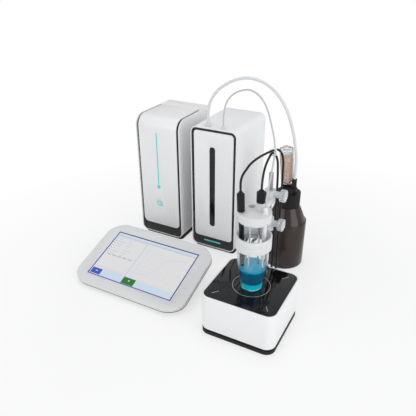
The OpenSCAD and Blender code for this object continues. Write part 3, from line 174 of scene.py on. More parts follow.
def add_grain(tree, shader, scale, bump, distance, uneven=0.0, base=0.4):
    """Fine bump from noise on the object's own coordinates, with uneven roughness."""
    place = tree.nodes.new("ShaderNodeTexCoord")
    noise = tree.nodes.new("ShaderNodeTexNoise")
    noise.inputs["Scale"].default_value = scale
    noise.inputs["Detail"].default_value = 3
    tree.links.new(place.outputs["Object"], noise.inputs["Vector"])
    relief = tree.nodes.new("ShaderNodeBump")
    relief.inputs["Strength"].default_value = bump
    relief.inputs["Distance"].default_value = distance
    tree.links.new(noise.outputs["Fac"], relief.inputs["Height"])
    tree.links.new(relief.outputs["Normal"], shader.inputs["Normal"])
    if uneven:
        broad = tree.nodes.new("ShaderNodeTexNoise")
        broad.inputs["Scale"].default_value = scale / 30
        tree.links.new(place.outputs["Object"], broad.inputs["Vector"])
        spread = tree.nodes.new("ShaderNodeMapRange")
        spread.inputs["To Min"].default_value = base - uneven
        spread.inputs["To Max"].default_value = base + uneven
        tree.links.new(broad.outputs["Fac"], spread.inputs["Value"])
        tree.links.new(spread.outputs["Result"], shader.inputs["Roughness"])


def dress(obj, finish):
    """Gives an object one material all over."""
    obj.data.materials.clear()
    obj.data.materials.append(finish)


clear_tubing, tree, shader = new_finish("clear_tubing", (0.66, 0.67, 0.68), 0.5)
add_grain(tree, shader, 40, 0.002, 0.0001, uneven=0.04, base=0.5)

dosing_tubing, tree, shader = new_finish("dosing_tubing", (0.50, 0.51, 0.53), 0.35)
add_grain(tree, shader, 40, 0.002, 0.0001, uneven=0.04, base=0.45)

cable_rubber, tree, shader = new_finish("cable_rubber", (0.012, 0.012, 0.013), 0.45, shine=0.25)
add_grain(tree, shader, 900, 0.15, 0.0004, uneven=0.08, base=0.45)

hose_line = smoothed(hose_route, 6)
suction_hose = drawn_tube("suction_hose_drawn", hose_line, hose_d)
dress(suction_hose, clear_tubing)
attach(suction_hose, "base")
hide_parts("suction_hose")

tube_line = smoothed(tube_route, 6)
dosing_tube = drawn_tube("dosing_tube_drawn", tube_line, tube_d)
dress(dosing_tube, dosing_tubing)
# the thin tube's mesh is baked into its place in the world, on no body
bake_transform(dosing_tube)
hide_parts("dosing_tube")

# the cables are drawn along their routes and baked into their place in the world, on no body
for name, node, route in (("electrode_cable_drawn", "electrode_cable", electrode_route),
                          ("probe_cable_drawn", "probe_cable", probe_route)):
    cable_line = smoothed(route, 6)
    cable = drawn_tube(name, cable_line, cable_d)
    dress(cable, cable_rubber)
    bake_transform(cable)
    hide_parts(node)

# ---------------------------------------------------------------- table and light
# A plain white floor that keeps a soft shadow under the object, in a pale room.
# Three large soft lamps light the object at a plain level, from the front, side and top.
bpy.ops.object.select_all(action="DESELECT")
bpy.ops.mesh.primitive_plane_add(size=60, location=(0, 0, -0.0004))
floor = bpy.context.object
floor.name = "floor"
floor_finish, tree, shader = new_finish("floor_finish", (0.84, 0.84, 0.84), 0.6)
seen = tree.nodes.new("ShaderNodeLightPath")
direct = tree.nodes.new("ShaderNodeMath")
direct.operation = "MAXIMUM"
mirrored = tree.nodes.new("ShaderNodeMath")
mirrored.operation = "MAXIMUM"
tree.links.new(seen.outputs["Is Camera Ray"], direct.inputs[0])
tree.links.new(seen.outputs["Is Transmission Ray"], direct.inputs[1])
tree.links.new(direct.outputs["Value"], mirrored.inputs[0])
tree.links.new(seen.outputs["Is Glossy Ray"], mirrored.inputs[1])
share = tree.nodes.new("ShaderNodeMath")
share.operation = "MULTIPLY"
tree.links.new(mirrored.outputs["Value"], share.inputs[0])
place = tree.nodes.new("ShaderNodeTexCoord")
away = tree.nodes.new("ShaderNodeVectorMath")
away.operation = "LENGTH"
tree.links.new(place.outputs["Object"], away.inputs[0])
# near the object the floor keeps its shadow, and far from it the floor is plain white
shadow_reach, white_reach = 0.35, 0.9
white_near, white_far = 0.64, 1.0
fade = tree.nodes.new("ShaderNodeMapRange")
fade.inputs["From Min"].default_value = shadow_reach
fade.inputs["From Max"].default_value = white_reach
fade.inputs["To Min"].default_value = white_near
fade.inputs["To Max"].default_value = white_far
tree.links.new(away.outputs["Value"], fade.inputs["Value"])
tree.links.new(fade.outputs["Result"], share.inputs[1])
white = tree.nodes.new("ShaderNodeEmission")
white.inputs["Strength"].default_value = 1.0
blend = tree.nodes.new("ShaderNodeMixShader")
tree.links.new(share.outputs["Value"], blend.inputs["Fac"])
tree.links.new(shader.outputs["BSDF"], blend.inputs[1])
tree.links.new(white.outputs["Emission"], blend.inputs[2])
tree.links.new(blend.outputs["Shader"], tree.nodes["Material Output"].inputs["Surface"])
dress(floor, floor_finish)

world = bpy.data.worlds.new("pale_room")
bpy.context.scene.world = world
world.use_nodes = True
tree = world.node_tree
room = tree.nodes["Background"]
room.inputs["Strength"].default_value = 0.68
room.inputs["Color"].default_value = (0.97, 0.985, 1, 1)
white_room = tree.nodes.new("ShaderNodeBackground")
white_room.inputs["Color"].default_value = (1, 1, 1, 1)
seen = tree.nodes.new("ShaderNodeLightPath")
choice = tree.nodes.new("ShaderNodeMixShader")
tree.links.new(seen.outputs["Is Camera Ray"], choice.inputs["Fac"])
tree.links.new(room.outputs["Background"], choice.inputs[1])
tree.links.new(white_room.outputs["Background"], choice.inputs[2])
tree.links.new(choice.outputs["Shader"], tree.nodes["World Output"].inputs["Surface"])


def soft_lamp(name, place, aim, size, power):
    """A square lamp pointed at a place on the object."""
    bpy.ops.object.light_add(type="AREA", location=place)
    lamp = bpy.context.object
    lamp.name = name
    lamp.data.size = size
    lamp.data.energy = power
    look = Vector(aim) - Vector(place)
    lamp.rotation_euler = look.to_track_quat("-Z", "Y").to_euler()


set_middle = (-0.15, 0.1, 0.1)
soft_lamp("key_lamp", (-0.6, -1.9, 0.9), set_middle, 1.5, 12)
soft_lamp("side_lamp", (1.9, -0.3, 0.8), (-0.1, 0.1, 0.1), 1.5, 16)
soft_lamp("top_lamp", (-0.2, 0.4, 2.2), set_middle, 1.6, 8)
bpy.context.scene.view_settings.view_transform = "Standard"

# ---------------------------------------------------------------- tower casings
# Injection-moulded white casings with a fine satin grain, and the front panels set in them.
# All their edges are broken by a small moulding radius.
casing_edge = 0.0012
panel_edge = 0.0007
# an edge sharper than the first angle is rounded, and one flatter than the second looks smooth
sharp_angle = math.radians(35)
smooth_angle = math.radians(32)


def merged_copy(node, flatten=False):
    """A copy of a node's mesh, its doubled corners merged and its flats cleared if asked."""
    bpy.ops.object.select_all(action="DESELECT")
    piece = bpy.data.objects.new(node + "_finished", nodes[node].data.copy())
    bpy.context.collection.objects.link(piece)
    piece.select_set(True)
    bpy.context.view_layer.objects.active = piece
    bpy.ops.object.mode_set(mode="EDIT")
    bpy.ops.mesh.select_all(action="SELECT")
    bpy.ops.mesh.remove_doubles(threshold=0.00001)
    if flatten:
        bpy.ops.mesh.dissolve_limited(angle_limit=math.radians(0.8))
    bpy.ops.object.mode_set(mode="OBJECT")
    return piece


def softened(node, body, width):
    """A finished piece with rounded edges, in place of a node."""
    piece = merged_copy(node, flatten=True)
    edge = piece.modifiers.new("edge", "BEVEL")
    edge.width = width
    edge.segments = 3
    edge.limit_method = "ANGLE"
    edge.angle_limit = sharp_angle
    bpy.ops.object.modifier_apply(modifier="edge")
    bpy.ops.object.shade_smooth_by_angle(angle=smooth_angle)
    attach(piece, body)
    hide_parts(node)
    return piece


white_casing, tree, shader = new_finish("white_casing", (0.80, 0.805, 0.81), 0.36, coat=0.12)
add_grain(tree, shader, 1400, 0.06, 0.0003, uneven=0.05, base=0.36)
for node in ("control_shell", "dosing_shell"):
    dress(softened(node, "base", casing_edge), white_casing)


def drawn_in(piece, margin, corner, top=False):
    """Moves a panel's sides, and its top edge if asked, inwards with round corners kept."""
    points = [vertex.co for vertex in piece.data.vertices]
    left = min(point.x for point in points)
    right = max(point.x for point in points)
    high = max(point.z for point in points)
    for point in points:
        if point.x < left + corner:
            point.x += margin
        elif point.x > right - corner:
            point.x -= margin
        if top and point.z > high - corner:
            point.z -= margin


panel_corner = 0.02
control_panel = softened("control_panel", "base", panel_edge)
drawn_in(control_panel, 0.0008, panel_corner)
dress(control_panel, white_casing)
dosing_panel = softened("dosing_panel", "base", panel_edge)
drawn_in(dosing_panel, 0.0013, panel_corner, top=True)
dress(dosing_panel, white_casing)

# ---------------------------------------------------------------- tower trims
# Black gloss trim round both front panels, and the matt black plinths under the casings.
# The trims are moulded and clipped in, the plinths screwed on from below.
black_gloss, tree, shader = new_finish("black_gloss", (0.01, 0.01, 0.011), 0.2, coat=0.1, shine=0.3)
add_grain(tree, shader, 800, 0.02, 0.0003, uneven=0.05, base=0.18)
black_matt, tree, shader = new_finish("black_matt", (0.013, 0.013, 0.014), 0.5, shine=0.2)
add_grain(tree, shader, 1600, 0.2, 0.0004, uneven=0.07, base=0.5)
dress(softened("control_trim", "base", 0.0005), black_gloss)
dress(softened("dosing_bezel", "base", 0.0006), black_gloss)
# the plinths reach nearly down to the table, and stand out a little in front and at the sides; this
# added depth is a dark skirt that serves as painted shadow under the casings
plinth_gap, plinth_side, plinth_front, plinth_nose = 0.0006, 0.004, 0.0015, 0.02
for node in ("control_plinth", "dosing_plinth"):
    plinth = softened(node, "base", 0.001)
    plinth_low, plinth_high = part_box(node)
    middle = (plinth_low + plinth_high) / 2
    for vertex in plinth.data.vertices:
        point = vertex.co
        if point.z < middle.z:
            point.z -= plinth_low.z - plinth_gap
        if point.y < plinth_low.y + plinth_nose:
            point.y -= plinth_front
        point.x += math.copysign(plinth_side, point.x - middle.x)
    dress(plinth, black_matt)
rubber, tree, shader = new_finish("rubber", (0.025, 0.025, 0.025), 0.75)
add_grain(tree, shader, 1200, 0.3, 0.0005, uneven=0.06, base=0.75)
for node in ("tower_feet", "stirrer_pads"):
    dress(softened(node, "base", 0.0006), rubber)

# ---------------------------------------------------------------- lamps and standby button
# Light guides of cyan plastic in both towers, lit from behind, and the round standby button.
# The button is a pale disc with a lit ring round its middle.
cyan_lamp, tree, shader = new_finish("cyan_lamp", (0.07, 0.50, 0.49), 0.25)
shader.inputs["Emission Color"].default_value = (0.06, 0.62, 0.60, 1)
shader.inputs["Emission Strength"].default_value = 0.2
add_grain(tree, shader, 900, 0.03, 0.0003, uneven=0.05, base=0.25)
for node in ("light_strip", "status_lamp"):
    dress(softened(node, "base", 0.0003), cyan_lamp)
button_white, tree, shader = new_finish("button_white", (0.50, 0.77, 0.78), 0.35)
add_grain(tree, shader, 1200, 0.05, 0.0003, uneven=0.05, base=0.35)
dress(softened("standby_button", "button", 0.0004), button_white)


def band(name, place, inner, outer, thickness, turn=None, segments=64, edge=0.0002):
    """A flat ring with softened edges, its axis along Z or turned by a matrix."""
    bpy.ops.object.select_all(action="DESELECT")
    bpy.ops.mesh.primitive_circle_add(vertices=segments, radius=outer, fill_type="NGON")
    ring = bpy.context.object
    ring.name = name
    bpy.ops.object.mode_set(mode="EDIT")
    bpy.ops.mesh.select_all(action="SELECT")
    bpy.ops.mesh.inset(thickness=outer - inner, use_even_offset=True)
    bpy.ops.mesh.delete(type="FACE")
    bpy.ops.mesh.select_all(action="SELECT")
    bpy.ops.mesh.extrude_region_move(TRANSFORM_OT_translate={"value": (0, 0, thickness)})
    bpy.ops.mesh.select_all(action="SELECT")
    bpy.ops.mesh.normals_make_consistent(inside=False)
    bpy.ops.object.mode_set(mode="OBJECT")
    soften = ring.modifiers.new("soften", "BEVEL")
    soften.width = edge
    soften.segments = 2
    soften.limit_method = "ANGLE"
    soften.angle_limit = sharp_angle
    bpy.ops.object.modifier_apply(modifier="soften")
    ring.data.transform(Matrix.Translation(place) @ (turn or Matrix.Identity(4)))
    bpy.ops.object.shade_smooth_by_angle(angle=smooth_angle)
    return ring


facing_front = Matrix.Rotation(math.radians(90), 4, "X")
button_low, button_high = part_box("standby_button")
button_middle = (button_low + button_high) / 2
button_face = (button_middle.x, button_low.y + 0.0002, button_middle.z)
lit_inner, lit_outer, lit_t = 0.0042, 0.0057, 0.0004
button_ring = band("button_ring", button_face, lit_inner, lit_outer, lit_t, facing_front)
dress(button_ring, cyan_lamp)
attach(button_ring, "button")

# ---------------------------------------------------------------- tower backs and fittings
# Dark back panels with their sockets, the power rocker, the nickel sensor jacks and the plugs.
# The hose nipple and the tube nut stand on the dosing tower's top.
grey_plastic, tree, shader = new_finish("grey_plastic", (0.045, 0.047, 0.05), 0.45)
add_grain(tree, shader, 1500, 0.2, 0.0004, uneven=0.06, base=0.45)
steel, tree, shader = new_finish("steel", (0.62, 0.62, 0.63), 0.2, metallic=1.0)
add_grain(tree, shader, 700, 0.03, 0.0003, uneven=0.06, base=0.22)
for node in ("control_rear_panel", "dosing_rear_panel"):
    dress(softened(node, "base", 0.0004), grey_plastic)
dress(softened("power_rocker", "rocker", 0.0005), black_gloss)
dress(softened("sensor_jacks", "base", 0.0003), steel)
dress(softened("cable_plugs", "base", 0.0006), grey_plastic)
fitting_plastic, tree, shader = new_finish("fitting_plastic", (0.60, 0.61, 0.62), 0.35)
add_grain(tree, shader, 1200, 0.1, 0.0003, uneven=0.05, base=0.35)
dress(softened("tube_fittings", "base", 0.0005), fitting_plastic)


def screw_head(name, place, radius, turn, body, finish):
    """A cross-recessed pan head screw, its head facing +Z before it is turned."""
    bpy.ops.object.select_all(action="DESELECT")
    bpy.ops.mesh.primitive_cylinder_add(vertices=24, radius=radius, depth=radius * 0.7)
    screw = bpy.context.object
    screw.name = name
    bpy.ops.object.mode_set(mode="EDIT")
    bpy.ops.mesh.select_all(action="SELECT")
    bpy.ops.mesh.bevel(offset=radius * 0.2, segments=2)
    bpy.ops.object.mode_set(mode="OBJECT")
    bpy.ops.object.select_all(action="DESELECT")
    bpy.ops.mesh.primitive_cube_add(size=1)
    slot_cut = bpy.context.object
    slot_cut.data.transform(Matrix.Translation((0, 0, radius * 0.35))
                            @ Matrix.Diagonal((radius * 1.1, radius * 0.26, radius * 0.5, 1)))
    cross = slot_cut.data.copy()
    cross.transform(Matrix.Rotation(math.radians(90), 4, "Z"))
    second = bpy.data.objects.new("second_slot", cross)
    bpy.context.collection.objects.link(second)
    for cutter in (slot_cut, second):
        bpy.ops.object.select_all(action="DESELECT")
        screw.select_set(True)
        bpy.context.view_layer.objects.active = screw
        recess = screw.modifiers.new("recess", "BOOLEAN")
        recess.operation = "DIFFERENCE"
        recess.object = cutter
        bpy.ops.object.modifier_apply(modifier="recess")
        bpy.data.objects.remove(cutter)
    screw.data.transform(Matrix.Translation(place) @ turn)
    bpy.ops.object.shade_smooth_by_angle(angle=smooth_angle)
    dress(screw, finish)
    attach(screw, body)


facing_back = Matrix.Rotation(math.radians(-90), 4, "X")
screw_inset = 0.006
screw_r = 0.0026
for tower in ("control", "dosing"):
    low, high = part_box(tower + "_rear_panel")
    corners = [(x, z) for x in (low.x + screw_inset, high.x - screw_inset)
               for z in (low.z + screw_inset, high.z - screw_inset)]
    for number, (x, z) in enumerate(corners):
        screw_head(f"{tower}_back_screw_{number}", (x, high.y + 0.0004, z), screw_r,
                   facing_back, "base", steel)

# ---------------------------------------------------------------- burette drive
# Glass burette with its piston, guide rods, lead screw, motor and valve inside the tower.
# The smoked window in front is an acrylic strip.
smoked_window, tree, shader = new_finish("smoked_window", (0.008, 0.009, 0.012), 0.06, shine=0.3)
shader.inputs["Transmission Weight"].default_value = 0.15
shader.inputs["IOR"].default_value = 1.49
add_grain(tree, shader, 300, 0.01, 0.0002, uneven=0.02, base=0.06)
dress(softened("burette_window", "base", 0.0003), smoked_window)
clear_glass, tree, shader = new_finish("clear_glass", (0.97, 0.985, 0.985), 0.02)
shader.inputs["Transmission Weight"].default_value = 1
shader.inputs["IOR"].default_value = 1.42
add_grain(tree, shader, 120, 0.01, 0.0002, uneven=0.01, base=0.025)
dress(nodes["burette_cylinder"], clear_glass)
white_ptfe, tree, shader = new_finish("white_ptfe", (0.78, 0.78, 0.78), 0.35)
add_grain(tree, shader, 900, 0.05, 0.0003, uneven=0.05, base=0.35)
dress(softened("burette_piston", "piston", 0.0003), white_ptfe)
dress(softened("valve_block", "base", 0.0006), white_ptfe)
dress(softened("burette_frame", "base", 0.0004), steel)
dress(softened("lead_screw", "screw", 0.0003), steel)
dress(softened("drive_motor", "base", 0.0008), black_matt)

# ---------------------------------------------------------------- stirrer
# Low white casing on a black base, with a black glass top that carries thin printed marks.
# The motor and the magnet's yoke sit under the glass.
dress(softened("stirrer_housing", "base", 0.0016), white_casing)
dress(softened("stirrer_base", "base", 0.0012), black_matt)
dress(softened("stirrer_motor", "base", 0.0008), steel)
dress(softened("drive_magnet", "magnet", 0.0005), steel)
black_glass, tree, shader = new_finish("black_glass", (0.004, 0.004, 0.005), 0.03, shine=0.45)
add_grain(tree, shader, 60, 0.004, 0.0002, uneven=0.015, base=0.04)
dress(softened("stirrer_glass", "base", 0.0007), black_glass)
silver_print, tree, shader = new_finish("silver_print", (0.62, 0.63, 0.65), 0.4, metallic=0.4)
add_grain(tree, shader, 1500, 0.05, 0.0002, uneven=0.06, base=0.35)
_, glass_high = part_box("stirrer_glass")
mark_inner, mark_outer, mark_t, mark_sink = 0.0344, 0.0350, 0.00007, 0.00002
printed = band("stirrer_ring", (0, 0, glass_high.z - mark_sink), mark_inner, mark_outer, mark_t,
               segments=128, edge=0.00001)
dress(printed, silver_print)
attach(printed, "base")


def printed_stroke(name, size, place, turn):
    """A thin printed bar, turned about Z and laid at its place."""
    bpy.ops.object.select_all(action="DESELECT")
    bpy.ops.mesh.primitive_cube_add(size=1)
    bar = bpy.context.object
    bar.name = name
    bpy.ops.object.mode_set(mode="EDIT")
    bpy.ops.mesh.select_all(action="SELECT")
    bpy.ops.transform.resize(value=size)
    bpy.ops.object.mode_set(mode="OBJECT")
    bpy.ops.object.shade_smooth_by_angle(angle=smooth_angle)
    bar.data.transform(Matrix.Translation(place) @ Matrix.Rotation(math.radians(turn), 4, "Z"))
    return bar


# short printed strokes near three corners of the glass, each with its turn in degrees
stroke_size = (0.014, 0.0008, mark_t)
stroke_z = glass_high.z + 0.00001
stroke_places = [(-0.0493, -0.049, 52), (0.0478, 0.0497, 50), (0.0500, -0.0492, 122)]
for number, (x, y, turn) in enumerate(stroke_places):
    stroke = printed_stroke(f"stirrer_stroke_{number}", stroke_size, (x, y, stroke_z), turn)
    dress(stroke, silver_print)
    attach(stroke, "base")

# ---------------------------------------------------------------- stand and clamps
# Polished steel rod in a collar, with moulded holders clamped on it by fluted clear knobs.
rod_steel, tree, shader = new_finish("rod_steel", (0.34, 0.335, 0.34), 0.24, metallic=1.0)
add_grain(tree, shader, 500, 0.02, 0.0002, uneven=0.04, base=0.22)
dress(softened("stand_rod", "base", 0.0005), rod_steel)
dress(softened("rod_collar", "base", 0.0005), steel)
frosted, tree, shader = new_finish("frosted_plastic", (0.80, 0.81, 0.82), 0.3, coat=0.2)
shader.inputs["Transmission Weight"].default_value = 0.2
shader.inputs["IOR"].default_value = 1.45
add_grain(tree, shader, 700, 0.05, 0.0003, uneven=0.05, base=0.28)
dress(softened("vessel_ring", "vessel_holder", 0.0006), frosted)
# the round plate's top is raised to the foot of the electrode's cap
head_plate = softened("head_plate", "titration_head", 0.0008)
plate_r, plate_top, plate_edge, plate_rise = 0.0295, 0.234, 0.0012, 0.005
for vertex in head_plate.data.vertices:
    on_top = abs(vertex.co.z - plate_top) < plate_edge
    if on_top and math.hypot(vertex.co.x, vertex.co.y) < plate_r:
        vertex.co.z += plate_rise
dress(head_plate, frosted)
knob_clear, tree, shader = new_finish("knob_clear", (0.80, 0.82, 0.84), 0.12, coat=0.2)
shader.inputs["Transmission Weight"].default_value = 0.6
shader.inputs["IOR"].default_value = 1.47
add_grain(tree, shader, 500, 0.03, 0.0003, uneven=0.04, base=0.12)
dress(softened("ring_knob", "ring_screw", 0.0005), knob_clear)
dress(softened("head_knob", "head_screw", 0.0005), knob_clear)

# a frosted collar on the vessel's ring, as high again as the ring, open for the electrodes
ring_low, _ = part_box("vessel_ring")
ring_h = 0.013
collar_sink = 0.0005
collar_inner, collar_outer, collar_h = 0.0288, 0.0319, 0.0125
collar = band("vessel_collar", (0, 0, ring_low.z + ring_h - collar_sink), collar_inner,
              collar_outer, collar_h, segments=96, edge=0.0007)
dress(collar, frosted)
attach(collar, "vessel_holder")

# ---------------------------------------------------------------- vessel and sample
# Thin glass titration vessel with a brim, which hangs in the holder's ring.
# The sample's blue is painted lighter at its surface and foot and dark between, as painted light
# and shade on one liquid, with a stir bar.
dress(softened("vessel", "vessel_holder", 0.0005), clear_glass)
sample_blue, tree, shader = new_finish("sample_blue", (0.02, 0.45, 0.62), 0.05)
shader.inputs["Transmission Weight"].default_value = 0.3
shader.inputs["IOR"].default_value = 1.33
sample_low, sample_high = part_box("sample")
place = tree.nodes.new("ShaderNodeTexCoord")
parts = tree.nodes.new("ShaderNodeSeparateXYZ")
tree.links.new(place.outputs["Object"], parts.inputs["Vector"])
# the sample's colour changes with height: painted light at its surface and foot, painted shade
# between
depth = tree.nodes.new("ShaderNodeMapRange")
depth.inputs["From Min"].default_value = sample_low.z
depth.inputs["From Max"].default_value = sample_high.z
tree.links.new(parts.outputs["Z"], depth.inputs["Value"])
shades = tree.nodes.new("ShaderNodeValToRGB")
stops = shades.color_ramp.elements
stops[0].position = 0.0
stops[0].color = (0.0, 0.78, 0.90, 1)
stops[1].position = 1.0
stops[1].color = (0.08, 0.52, 0.80, 1)
for position, colour in ((0.24, (0.0, 0.72, 0.86, 1)), (0.3, (0.0, 0.10, 0.19, 1)),
                         (0.84, (0.0, 0.14, 0.26, 1)), (0.93, (0.0, 0.42, 0.68, 1))):
    stop = stops.new(position)
    stop.color = colour
tree.links.new(depth.outputs["Result"], shades.inputs["Fac"])
tree.links.new(shades.outputs["Color"], shader.inputs["Base Color"])
# a faint glow in the sample's own colours is painted light, for light passing through it
tree.links.new(shades.outputs["Color"], shader.inputs["Emission Color"])
shader.inputs["Emission Strength"].default_value = 0.16
dress(nodes["sample"], sample_blue)
dress(softened("stir_bar", "stirring_bar", 0.0002), white_ptfe)

# ---------------------------------------------------------------- titration head
# Black electrode and probe caps over their shafts, a white dosing tip and the vent plug.
# The white tie holds both cables and the dosing tube together behind the head.
electrode_black, tree, shader = new_finish("electrode_black", (0.01, 0.01, 0.011), 0.4, shine=0.2)
add_grain(tree, shader, 1200, 0.08, 0.0003, uneven=0.06, base=0.3)
dress(softened("electrode", "titration_head", 0.0003), electrode_black)


def thickened(piece, foot, head, factor, above=0):
    """Moves a turned piece's wall, above a height, away from its axis from foot to head."""
    foot, head = Vector(foot), Vector(head)
    for vertex in piece.data.vertices:
        if vertex.co.z < above:
            continue
        axis = foot + (head - foot) * (vertex.co.z - foot.z) / (head.z - foot.z)
        vertex.co.x = axis.x + (vertex.co.x - axis.x) * factor
        vertex.co.y = axis.y + (vertex.co.y - axis.y) * factor


electrode_foot, electrode_head = (-0.0206, -0.0109, 0.234), (-0.0224, -0.0119, 0.276)
electrode_cap = softened("electrode_cap", "titration_head", 0.0006)
thickened(electrode_cap, electrode_foot, electrode_head, 1.12)
dress(electrode_cap, electrode_black)
probe_foot, probe_head = (0.006, 0.01, 0.25), (0.006, 0.01, 0.276)
probe_cap = softened("probe_cap", "titration_head", 0.0008)
thickened(probe_cap, probe_foot, probe_head, 1.26)
dress(probe_cap, electrode_black)
dress(softened("temperature_probe", "titration_head", 0.0002), steel)
dress(softened("dosing_tip", "titration_head", 0.0003), white_ptfe)
dress(softened("vent_plug", "titration_head", 0.0005), frosted)
dress(softened("cable_tie", "titration_head", 0.0002), white_ptfe)

# ---------------------------------------------------------------- reagent bottle
# Blown amber glass bottle, nearly opaque, with a ribbed black screw ring round its neck.
# The black stopper in the ring carries the hose socket and the seat of the drying tube.
amber_glass, tree, shader = new_finish("amber_glass", (0.030, 0.019, 0.016), 0.16, shine=0.35)
shader.inputs["Transmission Weight"].default_value = 0.1
shader.inputs["IOR"].default_value = 1.5
add_grain(tree, shader, 40, 0.02, 0.0005, uneven=0.04, base=0.18)
# the ledge of the shoulder is lowered, between the straight wall and the neck's foot
bottle = softened("bottle", "base", 0.0008)
wall_high, solid_ledge, ledge, neck_low = 0.1, 0.119, 0.108, 0.140
for vertex in bottle.data.vertices:
    height = vertex.co.z
    if wall_high < height <= solid_ledge + 0.0001:
        share = (ledge - wall_high) / (solid_ledge - wall_high)
        vertex.co.z = wall_high + (height - wall_high) * share
    elif solid_ledge < height < neck_low:
        share = (neck_low - ledge) / (neck_low - solid_ledge)
        vertex.co.z = ledge + (height - solid_ledge) * share
dress(bottle, amber_glass)
dress(softened("bottle_cap", "cap_ring", 0.0003), black_matt)
dress(softened("bottle_stopper", "base", 0.0006), electrode_black)

# ---------------------------------------------------------------- drying tube
# Clear moulded tube of pale pink granules on the stopper, under a clear vented cap.
drying_clear, tree, shader = new_finish("drying_clear", (0.93, 0.94, 0.95), 0.06)
shader.inputs["Transmission Weight"].default_value = 0.92
shader.inputs["IOR"].default_value = 1.3
add_grain(tree, shader, 300, 0.02, 0.0002, uneven=0.02, base=0.06)
drying_foot, drying_head = (-0.0225, 0.2335, 0.187), (-0.0288, 0.2301, 0.2687)
drying_seat = 0.1935
drying_tube = softened("drying_tube", "dryer", 0.0004)
drying_cap = softened("drying_cap", "dryer", 0.0006)
drying_granules = softened("drying_granules", "dryer", 0.0004)
for piece in (drying_tube, drying_cap, drying_granules):
    thickened(piece, drying_foot, drying_head, 1.15, above=drying_seat)
dress(drying_tube, drying_clear)
dress(drying_cap, drying_clear)
granules, tree, shader = new_finish("granules", (0.66, 0.46, 0.35), 0.75)
place = tree.nodes.new("ShaderNodeTexCoord")
cells = tree.nodes.new("ShaderNodeTexVoronoi")
cells.inputs["Scale"].default_value = 420
tree.links.new(place.outputs["Object"], cells.inputs["Vector"])
shades = tree.nodes.new("ShaderNodeValToRGB")
shades.color_ramp.elements[0].color = (0.92, 0.74, 0.62, 1)
shades.color_ramp.elements[1].position = 0.75
shades.color_ramp.elements[1].color = (0.62, 0.38, 0.26, 1)
tree.links.new(cells.outputs["Distance"], shades.inputs["Fac"])
tree.links.new(shades.outputs["Color"], shader.inputs["Base Color"])
relief = tree.nodes.new("ShaderNodeBump")
relief.inputs["Strength"].default_value = 0.6
relief.inputs["Distance"].default_value = 0.001
relief.invert = True
tree.links.new(cells.outputs["Distance"], relief.inputs["Height"])
tree.links.new(relief.outputs["Normal"], shader.inputs["Normal"])
dress(drying_granules, granules)

# ---------------------------------------------------------------- terminal
# White housing with rounded edges on a dark back shell, leaning on its foot.
# A glass screen sits a little below its face.
# the dark colour is the back shell's own, and on the housing's lower band it is also painted shade
shell_white, shell_dark_and_shade = (0.66, 0.66, 0.665), (0.05, 0.052, 0.055)
terminal_white, tree, shader = new_finish("terminal_white", shell_white, 0.4, coat=0.05)
add_grain(tree, shader, 1500, 0.08, 0.0003, uneven=0.05, base=0.4)
# the white of the housing ends in a dark band near its back, partly the dark back shell's colour
# and partly painted shade under the housing's edge
screen_tilt = math.radians(17.2)
screen_origin = (-0.257, -0.061, -0.004 * math.sin(screen_tilt))
place = tree.nodes.new("ShaderNodeTexCoord")
above = tree.nodes.new("ShaderNodeVectorMath")
above.operation = "SUBTRACT"
above.inputs[1].default_value = screen_origin
tree.links.new(place.outputs["Object"], above.inputs[0])
height = tree.nodes.new("ShaderNodeVectorMath")
height.operation = "DOT_PRODUCT"
height.inputs[1].default_value = (0, -math.sin(screen_tilt), math.cos(screen_tilt))
tree.links.new(above.outputs["Vector"], height.inputs[0])
# below this height above the screen's plane the housing is painted dark, as the back shell's colour
# and as painted shade
seam_and_shade_height = 0.0086
seam_and_shade = tree.nodes.new("ShaderNodeMath")
seam_and_shade.operation = "GREATER_THAN"
seam_and_shade.inputs[1].default_value = seam_and_shade_height
tree.links.new(height.outputs["Value"], seam_and_shade.inputs[0])
shell = tree.nodes.new("ShaderNodeMix")
shell.data_type = "RGBA"
shell.inputs["A"].default_value = (*shell_dark_and_shade, 1)
shell.inputs["B"].default_value = (*shell_white, 1)
tree.links.new(seam_and_shade.outputs["Value"], shell.inputs["Factor"])
tree.links.new(shell.outputs["Result"], shader.inputs["Base Color"])
housing = merged_copy("tablet_housing")
bpy.ops.object.shade_smooth_by_angle(angle=math.radians(30))
# the margin grows beside and above the screen's pocket, and the pocket itself stays
pocket_side, side_ramp = 0.106, 0.02
pocket_top, top_ramp = 0.147, 0.012
right_growth, left_growth, top_growth = 0.006, 0.004, 0.003
for vertex in housing.data.vertices:
    point = vertex.co
    beside = min(max((abs(point.x - screen_origin[0]) - pocket_side) / side_ramp, 0), 1)
    point.x += beside * (right_growth if point.x > screen_origin[0] else -left_growth)
    over = min(max((point.y - screen_origin[1] - pocket_top) / top_ramp, 0), 1)
    point.y += over * top_growth
    point.z += over * top_growth * math.tan(screen_tilt)
dress(housing, terminal_white)
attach(housing, "base")
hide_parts("tablet_housing")
dress(softened("tablet_back", "base", 0.001), grey_plastic)

# ---------------------------------------------------------------- terminal screen
# The lit screen's picture, a generic window with a list, a plot and two buttons.
# Each patch is a flat film on the glass, with its colour kept in the mesh.
dress(nodes["tablet_screen"], black_glass)
screen_w = 0.209
screen_h = 0.127
screen_foot = 0.024
screen_face = 0.0144
screen_place = (Matrix.Translation(screen_origin) @ Matrix.Rotation(screen_tilt, 4, "X")
                @ Matrix.Translation((-screen_w / 2, screen_foot, screen_face)))
frame_blue = (0.02, 0.08, 0.34)
frame_dark = (0.02, 0.035, 0.22)
title_grey = (0.50, 0.54, 0.64)
paper = (0.66, 0.665, 0.70)
page = (0.69, 0.69, 0.70)
foot_blue = (0.55, 0.65, 0.76)
foot_lilac = (0.60, 0.63, 0.75)
grid_grey = (0.57, 0.58, 0.63)
text_grey = (0.30, 0.31, 0.38)
rose = (0.76, 0.55, 0.49)
peach = (0.76, 0.63, 0.55)
curve_blue = (0.50, 0.54, 0.72)
button_green = (0.004, 0.155, 0.008)
button_blue = (0.03, 0.075, 0.46)
button_mark = (0.55, 0.62, 0.80)
